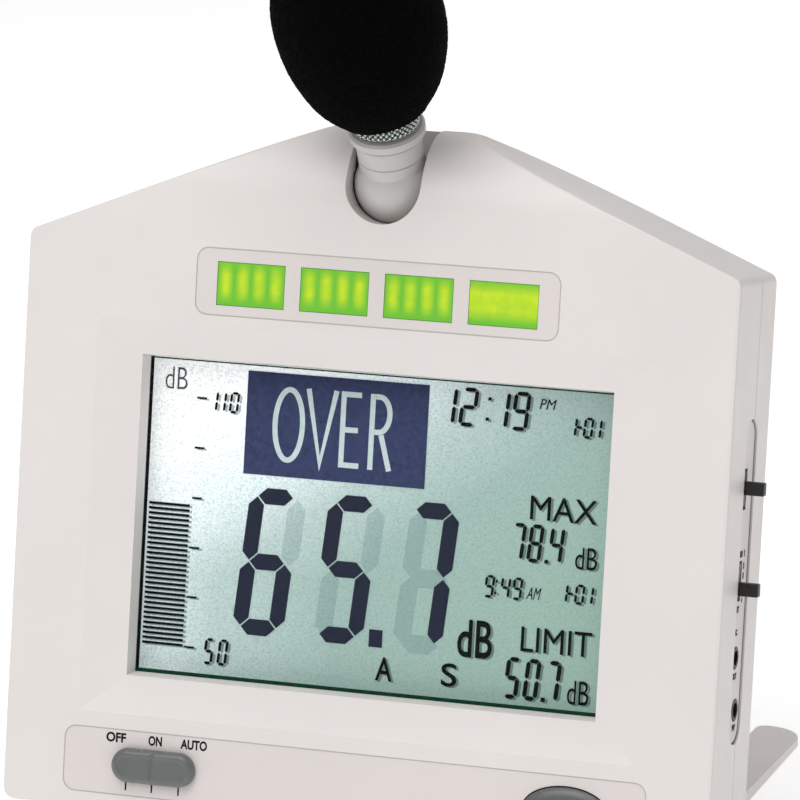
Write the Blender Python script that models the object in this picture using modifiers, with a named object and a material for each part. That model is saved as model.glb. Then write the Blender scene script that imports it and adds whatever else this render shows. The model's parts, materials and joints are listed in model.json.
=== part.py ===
"""Desk and wall sound level meter with a large display, alarm lamps and a tilting microphone.

Every piece is modelled in the casing's own upright frame, in millimetres: X to the viewer's right,
Y from the front face to the back, Z up, with the origin at the bottom centre of the front face.
One empty then leans the whole casing back onto its rear bottom edge and its two fold-out legs.
World units are metres, the table is Z = 0 and the world origin is the centre of the resting edge.
"""

import math

import bmesh
import bpy
from mathutils import Matrix, Vector

MM = 0.001
GAP = 0.3  # clearance between neighbouring pieces

# Casing
HALF_WIDTH = 89.0
DEPTH = 32.0
EAVE_HEIGHT = 138.6
TOP_HEIGHT = 168.2
APEX_HALF_WIDTH = 16.3
SHOULDER_HEIGHT = 150.0  # the front and back faces start to roll over here
PARTING = 19.0  # depth of the joint line between the two casing halves
WALL = 2.4
EDGE_ROUNDING = 0.9
LEAN = math.radians(12.0)
RESTING_EDGE = 4.0  # width of the flat that the casing rests on

# Display
BEZEL_OUTER = (-70.0, 70.0, 23.5, 118.9)  # left, right, bottom, top
BEZEL_INNER = (-59.2, 59.2, 32.7, 110.5)
BEZEL_DEPTH = 2.5
WELL_DEPTH = 6.6
WELL_DRAFT = 0.6
PANE = (-61.4, 61.4, 30.5, 112.7)
PANE_BACK = 8.9
VIEW_AREA = (-60.2, 60.2, 32.6, 110.2)
GASKET_DEPTHS = (9.3, 11.7)  # front and back
LCD_DEPTHS = (12.0, 14.4)
BACKLIGHT_DEPTHS = (14.7, 17.7)
CONNECTOR_BACK = 19.9
MAIN_BOARD = (-74.0, 74.0, 31.0, 118.0)
MAIN_BOARD_DEPTHS = (20.2, 21.8)
PROCESSOR = (-38.0, -24.0, 78.0, 92.0)
PROCESSOR_DEPTHS = (22.1, 23.7)

# Alarm lamps
LAMP_COUNT = 4
LAMP_PITCH = 21.1
LAMP_WIDTH = 16.9
LAMP_HEIGHTS = (123.9, 134.1)
LAMP_FRONT = 0.15
LAMP_BACK = 4.4
LAMP_BOARD = (-45.0, 45.0, 122.2, 136.6)
LAMP_BOARD_DEPTHS = (8.2, 9.8)
LAMP_LABEL = (-45.6, 45.6, 121.2, 137.5)
LABEL_RECESS = 0.8
LABEL_THICKNESS = 0.42
LABEL_CORNER = 3.0

# Front controls
CONTROL_LABEL = (-73.4, 73.4, 3.7, 19.8)
SWITCH_CENTRE = (-49.8, 11.4)
SWITCH_SIZE = (21.3, 8.4)
SWITCH_TRAVEL = 6.8
SWITCH_CAP_DEPTHS = (-2.6, -0.25)
SWITCH_BODY_DEPTHS = (4.4, 8.2)
BUTTON_CENTRE = (53.8, 11.2)
BUTTON_SIZE = (21.0, 11.6)
BUTTON_PROUD = 1.5
CONTROL_BOARD = (-76.0, 76.0, 3.6, 19.4)
CONTROL_BOARD_DEPTHS = (8.5, 10.1)

# Controls on the right-hand side
SIDE_RECESS = (12.9, 22.1, 28.4, 105.6)  # front, back, bottom, top
SIDE_RECESS_DEPTH = 1.6
SIDE_SWITCH_DEPTH = 14.7
SIDE_SWITCH_SLOTS = ((84.9, 93.3, 89.5), (63.3, 71.5, 65.7))  # bottom, top, resting place of the knob
SIDE_KNOB_SIZE = (2.4, 3.2)
SIDE_KNOB_PROUD = 4.7
SIDE_BOARD = (78.7, 80.3)  # inner and outer X
SIDE_PARTS_INNER = 80.6  # the switches and jacks stand on the board from here
JACKS = {"output_jack": (16.1, 49.2), "power_jack": (18.2, 36.6)}  # depth and height
JACK_RADIUS = 2.5
JACK_BORE_RADIUS = 1.8

# Microphone
BALL_CENTRE = (0.0, 10.3, 155.1)
BALL_RADIUS = 10.0
NECK_RADIUS = 8.0
NECK_SEAM = 9.0
NECK_SOCKET_RADIUS = 5.3
SLOT_HALF_WIDTH = 9.4
MIC_TILT = math.radians(34.0)
COLLAR = (9.2, 14.2, 17.0)  # radius, bottom and top, along the microphone
KNURL = (8.0, 17.3, 24.0)
BARREL = (6.35, 58.0)  # radius and top
FOAM_RADIUS = 20.4
FOAM_MIDDLE = 47.5
FOAM_UPPER_LENGTH = 26.0
FOAM_LOWER_LENGTH = 30.5
FOAM_MOUTH = (10.6, 21.2)  # radius and place along the microphone
FOAM_CROOK = math.radians(5.6)  # the foam sits a little askew on its barrel

# Legs
LEG_SPAN = (67.3, 81.6)  # the knuckle's inner and outer X
LEG_WIDTH = 12.7
LEG_LENGTH = 87.3
LEG_THICKNESS = 4.0
LEG_TIP_THICKNESS = 1.5
LEG_CORNERS = (2.4, 9.4)  # rounding of the tip's inner and outer corner
LEG_AXIS_HEIGHT = 2.9  # above the table, and the same below the back face when folded
LEG_LIFT = 0.2  # the pads hold the leg this far off the table
LEG_BARREL_RADIUS = 2.6
PAD_DEPTH = 0.8
PIN_RADIUS = 1.25
PIN_REACH = 2.0  # beyond the knuckle at each end

# Battery bay
CELL_RADIUS = 5.25
CELL_LENGTH = 44.5
CELL_DEPTH = 23.7
CELL_HEIGHTS = (9.9, 21.2)
BAY = (-47.6, 47.6, 4.3, 26.8)
DOOR = (-51.0, 51.0, 3.4, 29.6)
DOOR_THICKNESS = 2.1
DOOR_RIB_COUNT = 3
DOOR_RIB_PITCH = 1.2
DOOR_RIB_THICKNESS = 0.6

# Fasteners
CASE_SCREWS = ((-57.0, 24.0), (57.0, 24.0), (-79.0, 128.0), (79.0, 128.0))
SCREW_HEAD = (2.8, 22.4, 24.4)  # radius, seat and outer face
SCREW_SHANK = (1.4, 8.6)  # radius and the depth of its tip
TRIPOD_HEIGHT = 72.0
TRIPOD_INSERT = (5.0, 23.7)  # radius and front end
TRIPOD_BORE = (3.1, 24.9)
KEYHOLES = ((-40.0, 112.0), (40.0, 112.0))


def clear_scene():
    for obj in list(bpy.data.objects):
        bpy.data.objects.remove(obj)


def new_collection(name):
    collection = bpy.data.collections.new(name)
    bpy.context.scene.collection.children.link(collection)
    return collection


clear_scene()
PARTS = new_collection("sound_level_meter")
CUTTERS = new_collection("cutters")
CUTTERS.hide_render = True


# Modelling helpers -------------------------------------------------------------------------------


def object_from(name, bm):
    """A new object holding this bmesh, its faces turned outwards."""
    bmesh.ops.recalc_face_normals(bm, faces=bm.faces)
    mesh = bpy.data.meshes.new(name)
    bm.to_mesh(mesh)
    bm.free()
    obj = bpy.data.objects.new(name, mesh)
    CUTTERS.objects.link(obj)
    obj.hide_render = True
    obj.display_type = "WIRE"
    return obj


def bake(obj):
    """Replaces an object by its evaluated mesh, and welds its seams."""
    graph = bpy.context.evaluated_depsgraph_get()
    mesh = bpy.data.meshes.new_from_object(obj.evaluated_get(graph))
    bm = bmesh.new()
    bm.from_mesh(mesh)
    bmesh.ops.remove_doubles(bm, verts=bm.verts, dist=1e-6)
    baked = object_from(obj.name + "_baked", bm)
    name = obj.name
    bpy.data.objects.remove(obj)
    bpy.data.meshes.remove(mesh)
    baked.name = name
    return baked


def boolean(target, tools, operation):
    for tool in tools:
        modifier = target.modifiers.new(operation.lower(), "BOOLEAN")
        modifier.operation = operation
        modifier.solver = "EXACT"
        modifier.object = tool
    baked = bake(target)
    for tool in tools:
        bpy.data.objects.remove(tool)
    return baked


def cut(target, *tools):
    return boolean(target, tools, "DIFFERENCE")


def join(target, *tools):
    return boolean(target, tools, "UNION")


def common(target, *tools):
    return boolean(target, tools, "INTERSECT")


def bevelled(obj, width, segments=2, angle=40.0):
    modifier = obj.modifiers.new("edges", "BEVEL")
    modifier.width = width * MM
    modifier.segments = segments
    modifier.limit_method = "ANGLE"
    modifier.angle_limit = math.radians(angle)
    return bake(obj)


def moved(obj, matrix):
    obj.data.transform(matrix)
    return obj


def box(name, low, high):
    bm = bmesh.new()
    bmesh.ops.create_cube(bm, size=1.0)
    low, high = Vector(low) * MM, Vector(high) * MM
    bmesh.ops.scale(bm, vec=high - low, verts=bm.verts)
    bmesh.ops.translate(bm, vec=(low + high) / 2, verts=bm.verts)
    return object_from(name, bm)


def slab(name, area, front, back):
    """A box with its left, right, bottom and top given, between two depths."""
    left, right, bottom, top = area
    return box(name, (left, front, bottom), (right, back, top))


def grown(area, amount):
    left, right, bottom, top = area
    return (left - amount, right + amount, bottom - amount, top + amount)


def frustum(name, front_area, front, back_area, back):
    """A box whose front and back rectangles differ, as in a chamfered or drafted opening."""
    obj = slab(name, (-1, 1, -1, 1), -1, 1)
    for vertex in obj.data.vertices:
        left, right, bottom, top = front_area if vertex.co.y < 0 else back_area
        depth = front if vertex.co.y < 0 else back
        x = left if vertex.co.x < 0 else right
        z = bottom if vertex.co.z < 0 else top
        vertex.co = Vector((x, depth, z)) * MM
    return obj


def cylinder(name, radius, start, end, sides=24, end_radius=None):
    start, end = Vector(start) * MM, Vector(end) * MM
    run = end - start
    bm = bmesh.new()
    bmesh.ops.create_cone(
        bm,
        cap_ends=True,
        segments=sides,
        radius1=radius * MM,
        radius2=(radius if end_radius is None else end_radius) * MM,
        depth=run.length,
        matrix=Matrix.Translation((start + end) / 2) @ run.to_track_quat("Z", "Y").to_matrix().to_4x4(),
    )
    return object_from(name, bm)


def ball(name, radius, centre, across=32, around=16):
    bm = bmesh.new()
    place = Matrix.Translation(Vector(centre) * MM)
    bmesh.ops.create_uvsphere(
        bm, u_segments=across, v_segments=around, radius=radius * MM, matrix=place
    )
    return object_from(name, bm)


def rounded(corners, steps=5):
    """A closed outline through corners (u, v, radius), each turned with an arc."""
    points = []
    for index, (u, v, radius) in enumerate(corners):
        corner = Vector((u, v))
        to_last = (Vector(corners[index - 1][:2]) - corner).normalized()
        to_next = (Vector(corners[(index + 1) % len(corners)][:2]) - corner).normalized()
        if not radius:
            points.append(corner)
            continue
        half_angle = to_last.angle(to_next) / 2
        centre = corner + (to_last + to_next).normalized() * radius / math.sin(half_angle)
        start = corner + to_last * radius / math.tan(half_angle) - centre
        end = corner + to_next * radius / math.tan(half_angle) - centre
        sweep = start.angle(end)
        for step in range(steps + 1):
            share = step / steps
            from_start = start * math.sin((1 - share) * sweep)
            from_end = end * math.sin(share * sweep)
            points.append(centre + (from_start + from_end) / math.sin(sweep))
    return points


def rounded_rectangle(area, radius, steps=5):
    left, right, bottom, top = area
    corners = [(left, bottom), (right, bottom), (right, top), (left, top)]
    return rounded([(u, v, radius) for u, v in corners], steps)


def pill(area, steps=8):
    left, right, bottom, top = area
    radius = min(right - left, top - bottom) / 2 * 0.998
    return rounded_rectangle(area, radius, steps)


def ellipse(centre, size, steps=36):
    half = Vector(size) / 2
    turns = [2 * math.pi * step / steps for step in range(steps)]
    return [Vector(centre) + Vector((half.x * math.cos(a), half.y * math.sin(a))) for a in turns]


# How a flat outline's own u, v and thickness lie in the casing, for a prism along each axis.
PRISM_FRAMES = {
    "X": Matrix(((0, 0, 1, 0), (1, 0, 0, 0), (0, 1, 0, 0), (0, 0, 0, 1))),
    "Y": Matrix(((1, 0, 0, 0), (0, 0, -1, 0), (0, 1, 0, 0), (0, 0, 0, 1))),
    "Z": Matrix.Identity(4),
}


def prism(name, outlines, axis, low, high):
    """Flat outlines, the first with the others as holes in it, given thickness along an axis."""
    curve = bpy.data.curves.new(name, "CURVE")
    curve.dimensions = "2D"
    curve.fill_mode = "BOTH"
    curve.extrude = (high - low) / 2 * MM
    for outline in outlines:
        spline = curve.splines.new("POLY")
        spline.points.add(len(outline) - 1)
        spline.use_cyclic_u = True
        for point, place in zip(spline.points, outline):
            point.co = (place[0] * MM, place[1] * MM, 0, 1)
    obj = bpy.data.objects.new(name, curve)
    CUTTERS.objects.link(obj)
    solid = bake(obj)
    middle = (low + high) / 2 * MM
    return moved(solid, PRISM_FRAMES[axis] @ Matrix.Translation((0, 0, -middle if axis == "Y" else middle)))


def turned(name, profile, steps=40):
    """A solid of revolution about Z, from (radius, height) points that start at the top of its axis."""
    mesh = bpy.data.meshes.new(name)
    points = [(radius * MM, 0, height * MM) for radius, height in profile]
    mesh.from_pydata(points, [(i, i + 1) for i in range(len(points) - 1)], [])
    obj = bpy.data.objects.new(name, mesh)
    CUTTERS.objects.link(obj)
    modifier = obj.modifiers.new("turn", "SCREW")
    modifier.steps = modifier.render_steps = steps
    modifier.use_merge_vertices = True
    modifier.merge_threshold = 1e-6
    return bake(obj)


def arc(centre, radius, start, end, steps, squash=1.0):
    """Points on an arc in degrees, its second coordinate stretched by squash."""
    angles = [math.radians(start + (end - start) * step / steps) for step in range(steps + 1)]
    return [(centre[0] + radius * math.cos(a), centre[1] + radius * squash * math.sin(a)) for a in angles]


# Materials and the list of finished pieces ---------------------------------------------------------

MATERIALS = {
    "casing_plastic": ((0.76, 0.72, 0.70), 0.45, 0.0),
    "label_film": ((0.77, 0.73, 0.71), 0.5, 0.0),
    "lamp_lens": ((0.30, 0.66, 0.04), 0.3, 0.0),
    "clear_pane": ((0.85, 0.92, 0.88), 0.05, 0.0),
    "lcd_glass": ((0.52, 0.62, 0.58), 0.2, 0.0),
    "black_plastic": ((0.012, 0.012, 0.013), 0.45, 0.0),
    "rubber": ((0.03, 0.03, 0.03), 0.8, 0.0),
    "grey_plastic": ((0.13, 0.14, 0.14), 0.4, 0.0),
    "dark_grey_plastic": ((0.07, 0.08, 0.08), 0.25, 0.0),
    "circuit_board": ((0.02, 0.16, 0.06), 0.45, 0.0),
    "light_guide": ((0.85, 0.87, 0.82), 0.3, 0.0),
    "elastomer": ((0.55, 0.30, 0.32), 0.7, 0.0),
    "mic_plastic": ((0.68, 0.67, 0.65), 0.4, 0.0),
    "knurled_metal": ((0.62, 0.66, 0.63), 0.3, 1.0),
    "steel": ((0.55, 0.55, 0.56), 0.3, 1.0),
    "brass": ((0.70, 0.50, 0.20), 0.3, 1.0),
    "foam": ((0.006, 0.007, 0.006), 0.95, 0.0),
    "cell_wrap": ((0.05, 0.10, 0.22), 0.35, 0.0),
}


def make_material(name):
    colour, roughness, metallic = MATERIALS[name]
    material = bpy.data.materials.new(name)
    material.use_nodes = True
    shader = material.node_tree.nodes["Principled BSDF"]
    shader.inputs["Base Color"].default_value = (*colour, 1)
    shader.inputs["Roughness"].default_value = roughness
    shader.inputs["Metallic"].default_value = metallic
    return material


def empty(name, place, parent=None, tilt=0.0):
    obj = bpy.data.objects.new(name, None)
    PARTS.objects.link(obj)
    obj.parent = parent
    obj.location = Vector(place) * MM
    obj.rotation_euler.x = tilt
    return obj


def keep(obj, material, parent, name=None):
    """Files a finished piece: its name, its material, smooth shading and the empty that carries it."""
    if name:
        obj.name = name
    CUTTERS.objects.unlink(obj)
    PARTS.objects.link(obj)
    obj.hide_render = False
    obj.display_type = "TEXTURED"
    obj.parent = parent
    obj.data.materials.append(bpy.data.materials.get(material) or make_material(material))
    obj.data.shade_smooth()
    obj.data.set_sharp_from_angle(angle=math.radians(30))
    return obj


# The flat on the casing's rear bottom edge runs from the bottom face to the back face.
FLAT_FRONT = DEPTH - RESTING_EDGE * math.cos(LEAN)
FLAT_CENTRE = (0.0, (FLAT_FRONT + DEPTH) / 2, (DEPTH - FLAT_FRONT) / 2 * math.tan(LEAN))
LEAN_TURN = Matrix.Rotation(-LEAN, 4, "X")
CASING = empty("casing_lean", LEAN_TURN @ -Vector(FLAT_CENTRE), tilt=-LEAN)


# Casing --------------------------------------------------------------------------------------------


def casing_outline(inset=0.0):
    """The gabled front view, with its lines moved inwards by the inset."""
    slope = math.atan2(TOP_HEIGHT - EAVE_HEIGHT, HALF_WIDTH - APEX_HALF_WIDTH)
    side = HALF_WIDTH - inset
    top = TOP_HEIGHT + 0.05 - inset
    roof_drop = inset / math.cos(slope)
    eave = EAVE_HEIGHT - roof_drop + inset * math.tan(slope)
    apex = side - (top - eave) / math.tan(slope)
    corners = [(side, inset, 3.0), (side, eave, 2.5), (apex, top, 12.0)]
    mirrored = [(-x, z, radius) for x, z, radius in reversed(corners)]
    return rounded(corners + mirrored)


def casing_profile(inset=0.0):
    """The side view: flat front and back that roll over into a rounded top."""
    middle = DEPTH / 2
    rise = TOP_HEIGHT - SHOULDER_HEIGHT - inset
    reach = middle - inset
    top = arc((middle, SHOULDER_HEIGHT), reach, 0, 180, 20, rise / reach)
    return [(inset, -5), (DEPTH - inset, -5)] + top


def casing_solid(name, inset=0.0):
    outline = prism(name, [casing_outline(inset)], "Y", -5, DEPTH + 5)
    profile = prism(name + "_profile", [casing_profile(inset)], "X", -HALF_WIDTH - 5, HALF_WIDTH + 5)
    return common(outline, profile)


def half_of(solid, front, back):
    reach = HALF_WIDTH + 20
    return common(solid, box("half", (-reach, front, -10), (reach, back, TOP_HEIGHT + 10)))


def side_recess(extra=0.0):
    """Cutter for the pill-shaped recess across the joint line on the right-hand side."""
    front, back, bottom, top = grown(SIDE_RECESS, extra)
    floor = HALF_WIDTH - SIDE_RECESS_DEPTH
    return prism("side_recess", [pill((front, back, bottom, top))], "X", floor, HALF_WIDTH + 5)


def side_holes(growth):
    """Cutters for the switch slots and the jacks in the right-hand side."""
    half_knob = SIDE_KNOB_SIZE[0] / 2 + growth
    near, far = HALF_WIDTH - 6, HALF_WIDTH + 5
    tools = [
        box("slot", (near, SIDE_SWITCH_DEPTH - half_knob, low), (far, SIDE_SWITCH_DEPTH + half_knob, high))
        for low, high, _ in SIDE_SWITCH_SLOTS
    ]
    for depth, height in JACKS.values():
        tools.append(cylinder("hole", JACK_RADIUS + growth, (near, depth, height), (far, depth, height)))
    return tools


def microphone_slot():
    """Cutter for the open-topped slot that the microphone's neck swings in."""
    _, _, centre = BALL_CENTRE
    reach = SLOT_HALF_WIDTH
    floor = arc((0, centre), reach, 180, 360, 20)
    mouth = [(reach, TOP_HEIGHT + 5), (-reach, TOP_HEIGHT + 5)]
    return prism("mic_slot", [floor + mouth], "Y", -5, PARTING)


def ball_clearance():
    return ball("ball_clearance", BALL_RADIUS + 0.4, BALL_CENTRE)


def button_hole():
    size = [side + 2 * GAP for side in BUTTON_SIZE]
    return prism("button_hole", [ellipse(BUTTON_CENTRE, size)], "Y", -2, 5)


def screw_column(place, radius, front, back):
    x, z = place
    return cylinder("column", radius, (x, front, z), (x, back, z), sides=20)


def front_casing():
    shell = half_of(bevelled(casing_solid("front_casing"), EDGE_ROUNDING), -10, PARTING - GAP / 2)
    hollow = half_of(casing_solid("front_hollow", WALL), -10, PARTING + 1)
    pane_frame = grown(PANE, 4.0)
    x_reach = SLOT_HALF_WIDTH + 5
    centre = BALL_CENTRE[2]
    hollow = cut(
        hollow,
        slab("bezel_plate", grown(BEZEL_OUTER, 2.4), -5, 5.0),
        slab("pane_frame", pane_frame, -5, 9.0),
        box("mic_block", (-x_reach, -5, centre - 13), (x_reach, 7.2, TOP_HEIGHT + 5)),
        *[screw_column(place, 3.6, -5, PARTING - 0.8) for place in CASE_SCREWS],
    )
    shell = cut(shell, hollow)
    outward = 0.5
    flare = outward / BEZEL_DEPTH
    bezel_front = tuple(o + (o - i) * flare for o, i in zip(BEZEL_OUTER, BEZEL_INNER))
    well_back = grown(BEZEL_INNER, -WELL_DRAFT)
    shell = cut(
        shell,
        frustum("bezel", bezel_front, -outward, BEZEL_INNER, BEZEL_DEPTH),
        frustum("well", BEZEL_INNER, BEZEL_DEPTH - 0.05, well_back, WELL_DEPTH + 0.05),
        slab("pane_seat", grown(PANE, GAP), WELL_DEPTH, 12),
    )
    shell = cut(
        shell,
        prism("lamp_recess", [rounded_rectangle(LAMP_LABEL, LABEL_CORNER)], "Y", -2, LABEL_RECESS),
        *[slab("lamp_hole", grown(lamp_area(i), GAP), -2, 5) for i in range(LAMP_COUNT)],
        prism("control_recess", [rounded_rectangle(CONTROL_LABEL, LABEL_CORNER)], "Y", -2, LABEL_RECESS),
        slab("switch_slot", switch_slot_area(), -2, 5),
        button_hole(),
    )
    shell = cut(shell, microphone_slot(), ball_clearance())
    shell = cut(
        shell,
        side_recess(),
        *side_holes(GAP),
        *[screw_column(place, 1.7, 7, PARTING + 1) for place in CASE_SCREWS],
    )
    keep(shell, "casing_plastic", CASING, "front_casing")


def leg_axis():
    """Depth and height of the legs' hinge axis in the casing's frame."""
    depth = DEPTH - LEG_AXIS_HEIGHT
    height = (LEG_AXIS_HEIGHT + (depth - FLAT_FRONT) * math.sin(LEAN)) / math.cos(LEAN)
    return depth, height


def leg_spans():
    """Left and right leg, each as the lowest and highest X of its knuckle."""
    inner, outer = LEG_SPAN
    return {"left": (-outer, -inner), "right": (inner, outer)}


def rear_casing():
    shell = half_of(bevelled(casing_solid("rear_casing"), EDGE_ROUNDING), PARTING + GAP / 2, DEPTH + 10)
    hollow = half_of(casing_solid("rear_hollow", WALL), PARTING - 1, DEPTH + 10)
    depth, height = leg_axis()
    recess_top = height + LEG_LENGTH + 1.2
    blocks = [
        box("mic_cradle", (-14, PARTING - 5, BALL_CENTRE[2] - 13), (14, 24, TOP_HEIGHT + 5)),
        cylinder("tripod_boss", 8.0, (0, 22.4, TRIPOD_HEIGHT), (0, DEPTH + 5, TRIPOD_HEIGHT)),
    ]
    for low, high in leg_spans().values():
        blocks.append(box("leg_housing", (low - 2.8, 25.2, -5), (high + 2.8, DEPTH + 5, recess_top + 2)))
        blocks.append(box("hinge_housing", (low - 3.4, 23.6, -5), (high + 3.4, DEPTH + 5, 9.6)))
    blocks += [screw_column(place, 5.2, PARTING - 5, DEPTH + 5) for place in CASE_SCREWS]
    hollow = cut(hollow, *blocks)
    shell = cut(shell, hollow)
    left, right, bottom, top = grown(BAY, 1.6)
    shell = join(
        shell,
        slab("battery_tub", (left, right, bottom, top), 16.4, 30.4),
        slab("door_ledge", (left - 2.6, right + 2.6, bottom, DOOR[3] + 1.6), 27.8, 30.4),
    )
    shell = cut(
        shell,
        slab("battery_bay", BAY, 18.0, DEPTH + 5),
        slab("door_seat", grown(DOOR, GAP), DEPTH - DOOR_THICKNESS - GAP, DEPTH + 5),
        ball_clearance(),
        cylinder("tripod_hole", 5.3, (0, 23.4, TRIPOD_HEIGHT), (0, DEPTH + 5, TRIPOD_HEIGHT)),
    )
    legs = []
    for low, high in leg_spans().values():
        legs.append(box("leg_recess", (low - GAP, 27.5, -5), (high + GAP, DEPTH + 5, recess_top)))
        legs.append(box("hinge_recess", (low - GAP, depth - 3.2, -5), (high + GAP, DEPTH + 5, 7.4)))
        reach = PIN_REACH + 0.2
        ends = [(x, depth, height) for x in (low - reach, high + reach)]
        legs.append(cylinder("pin_hole", PIN_RADIUS + GAP, *ends))
    shell = cut(shell, *legs)
    holes = []
    for x, z in CASE_SCREWS:
        holes.append(screw_column((x, z), 1.7, PARTING - 5, DEPTH + 5))
        holes.append(screw_column((x, z), 3.2, 22.0, DEPTH + 5))
    for x, z in KEYHOLES:
        holes.append(prism("keyhole", [ellipse((x, z), (8.4, 8.4), 20)], "Y", 24, DEPTH + 5))
        holes.append(prism("keyhole_neck", [pill((x - 2.1, x + 2.1, z - 2, z + 9.0))], "Y", 24, DEPTH + 5))
    shell = cut(shell, *holes)
    table = box("table", (-HALF_WIDTH - 5, -40, -20), (HALF_WIDTH + 5, 40, 0))
    moved(table, Matrix.Translation(Vector(FLAT_CENTRE) * MM) @ Matrix.Rotation(LEAN, 4, "X"))
    shell = cut(shell, side_recess(), *side_holes(GAP), table)
    keep(shell, "casing_plastic", CASING, "rear_casing")


# Labels and alarm lamps ----------------------------------------------------------------------------


def lamp_area(index):
    centre = (index - (LAMP_COUNT - 1) / 2) * LAMP_PITCH
    return (centre - LAMP_WIDTH / 2, centre + LAMP_WIDTH / 2, *LAMP_HEIGHTS)


def switch_slot_area():
    x, z = SWITCH_CENTRE
    reach = 2.0 + SWITCH_TRAVEL + GAP
    return (x - reach, x + reach, z - 1.9, z + 1.9)


def labels():
    front = LABEL_RECESS - GAP - LABEL_THICKNESS
    back = front + LABEL_THICKNESS
    corner = LABEL_CORNER - GAP
    lamp_outline = rounded_rectangle(grown(LAMP_LABEL, -GAP), corner)
    lamp_holes = [slab("hole", grown(lamp_area(i), GAP / 2), -5, 5) for i in range(LAMP_COUNT)]
    lamp_label = cut(prism("lamp_label", [lamp_outline], "Y", front, back), *lamp_holes)
    keep(lamp_label, "label_film", CASING, "lamp_label")
    control_outline = rounded_rectangle(grown(CONTROL_LABEL, -GAP), corner)
    control_holes = [slab("slot", switch_slot_area(), -5, 5), button_hole()]
    control_label = cut(prism("control_label", [control_outline], "Y", front, back), *control_holes)
    keep(control_label, "label_film", CASING, "control_label")


def lamps():
    for index in range(LAMP_COUNT):
        area = lamp_area(index)
        lens = join(
            slab("lens", area, LAMP_FRONT, LAMP_BACK - 0.4),
            slab("flange", grown(area, 1.4), WALL + GAP, LAMP_BACK),
        )
        keep(lens, "lamp_lens", CASING, f"lamp_window_{index + 1}")
        left, right, bottom, top = area
        strip = slab("strip", (left + 0.5, right - 0.5, bottom + 3.4, top - 3.4), 7.0, 7.9)
        pitch = LAMP_WIDTH / 4
        chips = []
        for chip in range(4):
            x = left + pitch * (chip + 0.5)
            chips.append(slab("chip", (x - 1.1, x + 1.1, bottom + 4.0, top - 4.0), 5.9, 7.4))
        keep(join(strip, *chips), "light_guide", CASING, f"lamp_led_strip_{index + 1}")
    keep(slab("lamp_board", LAMP_BOARD, *LAMP_BOARD_DEPTHS), "circuit_board", CASING)


# Display -------------------------------------------------------------------------------------------


def display():
    keep(slab("display_pane", PANE, WELL_DEPTH + GAP, PANE_BACK), "clear_pane", CASING)
    frame = slab("display_gasket", grown(PANE, 0.8), *GASKET_DEPTHS)
    keep(cut(frame, slab("opening", VIEW_AREA, 0, 20)), "black_plastic", CASING, "display_gasket")
    keep(slab("lcd_panel", grown(PANE, 0.2), *LCD_DEPTHS), "lcd_glass", CASING)
    left, right, bottom, top = PANE
    backlight_area = (left, right, bottom + 4.0, top)
    keep(slab("display_backlight", backlight_area, *BACKLIGHT_DEPTHS), "light_guide", CASING)
    strip_area = (left + 8, right - 8, bottom + 0.2, bottom + 3.0)
    strip = slab("display_connector_strip", strip_area, BACKLIGHT_DEPTHS[0], CONNECTOR_BACK)
    keep(strip, "elastomer", CASING)
    keep(slab("main_board", MAIN_BOARD, *MAIN_BOARD_DEPTHS), "circuit_board", CASING)
    keep(slab("processor_chip", PROCESSOR, *PROCESSOR_DEPTHS), "black_plastic", CASING)


# Front controls ------------------------------------------------------------------------------------


def function_switch():
    x, z = SWITCH_CENTRE
    width, height = SWITCH_SIZE
    pivot = empty("function_switch_slide", (x, 0, z), CASING)
    area = (-width / 2, width / 2, -height / 2, height / 2)
    front, back = SWITCH_CAP_DEPTHS
    cap = bevelled(prism("cap", [pill(area, 10)], "Y", front, back), 1.1, 3)
    cap = cut(cap, slab("groove", (-0.5, 0.5, -height, height), front - 1, front + 0.55))
    cap = join(cap, slab("stem", (-2.0, 2.0, -1.6, 1.6), -1.0, 4.1))
    keep(cap, "grey_plastic", pivot, "function_switch_cap")
    body = slab("function_switch_body", (x - 10.5, x + 10.5, z - 3.4, z + 3.4), *SWITCH_BODY_DEPTHS)
    keep(body, "steel", CASING)


def light_button():
    x, z = BUTTON_CENTRE
    pivot = empty("light_button_press", (x, 0, z), CASING)
    dome = bevelled(prism("dome", [ellipse((0, 0), BUTTON_SIZE)], "Y", -BUTTON_PROUD, 3.0), 1.0, 3)
    flange_size = [size + 1.6 for size in BUTTON_SIZE]
    flange = prism("flange", [ellipse((0, 0), flange_size)], "Y", WALL + GAP, 3.4)
    plunger = cylinder("plunger", 1.8, (0, 2.0, 0), (0, 4.2, 0), sides=16)
    keep(join(dome, flange, plunger), "dark_grey_plastic", pivot, "light_button")
    keep(slab("button_contact", (x - 3.1, x + 3.1, z - 3.1, z + 3.1), 5.7, 8.2), "black_plastic", CASING)
    keep(slab("control_board", CONTROL_BOARD, *CONTROL_BOARD_DEPTHS), "circuit_board", CASING)


# Side controls -------------------------------------------------------------------------------------


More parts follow.
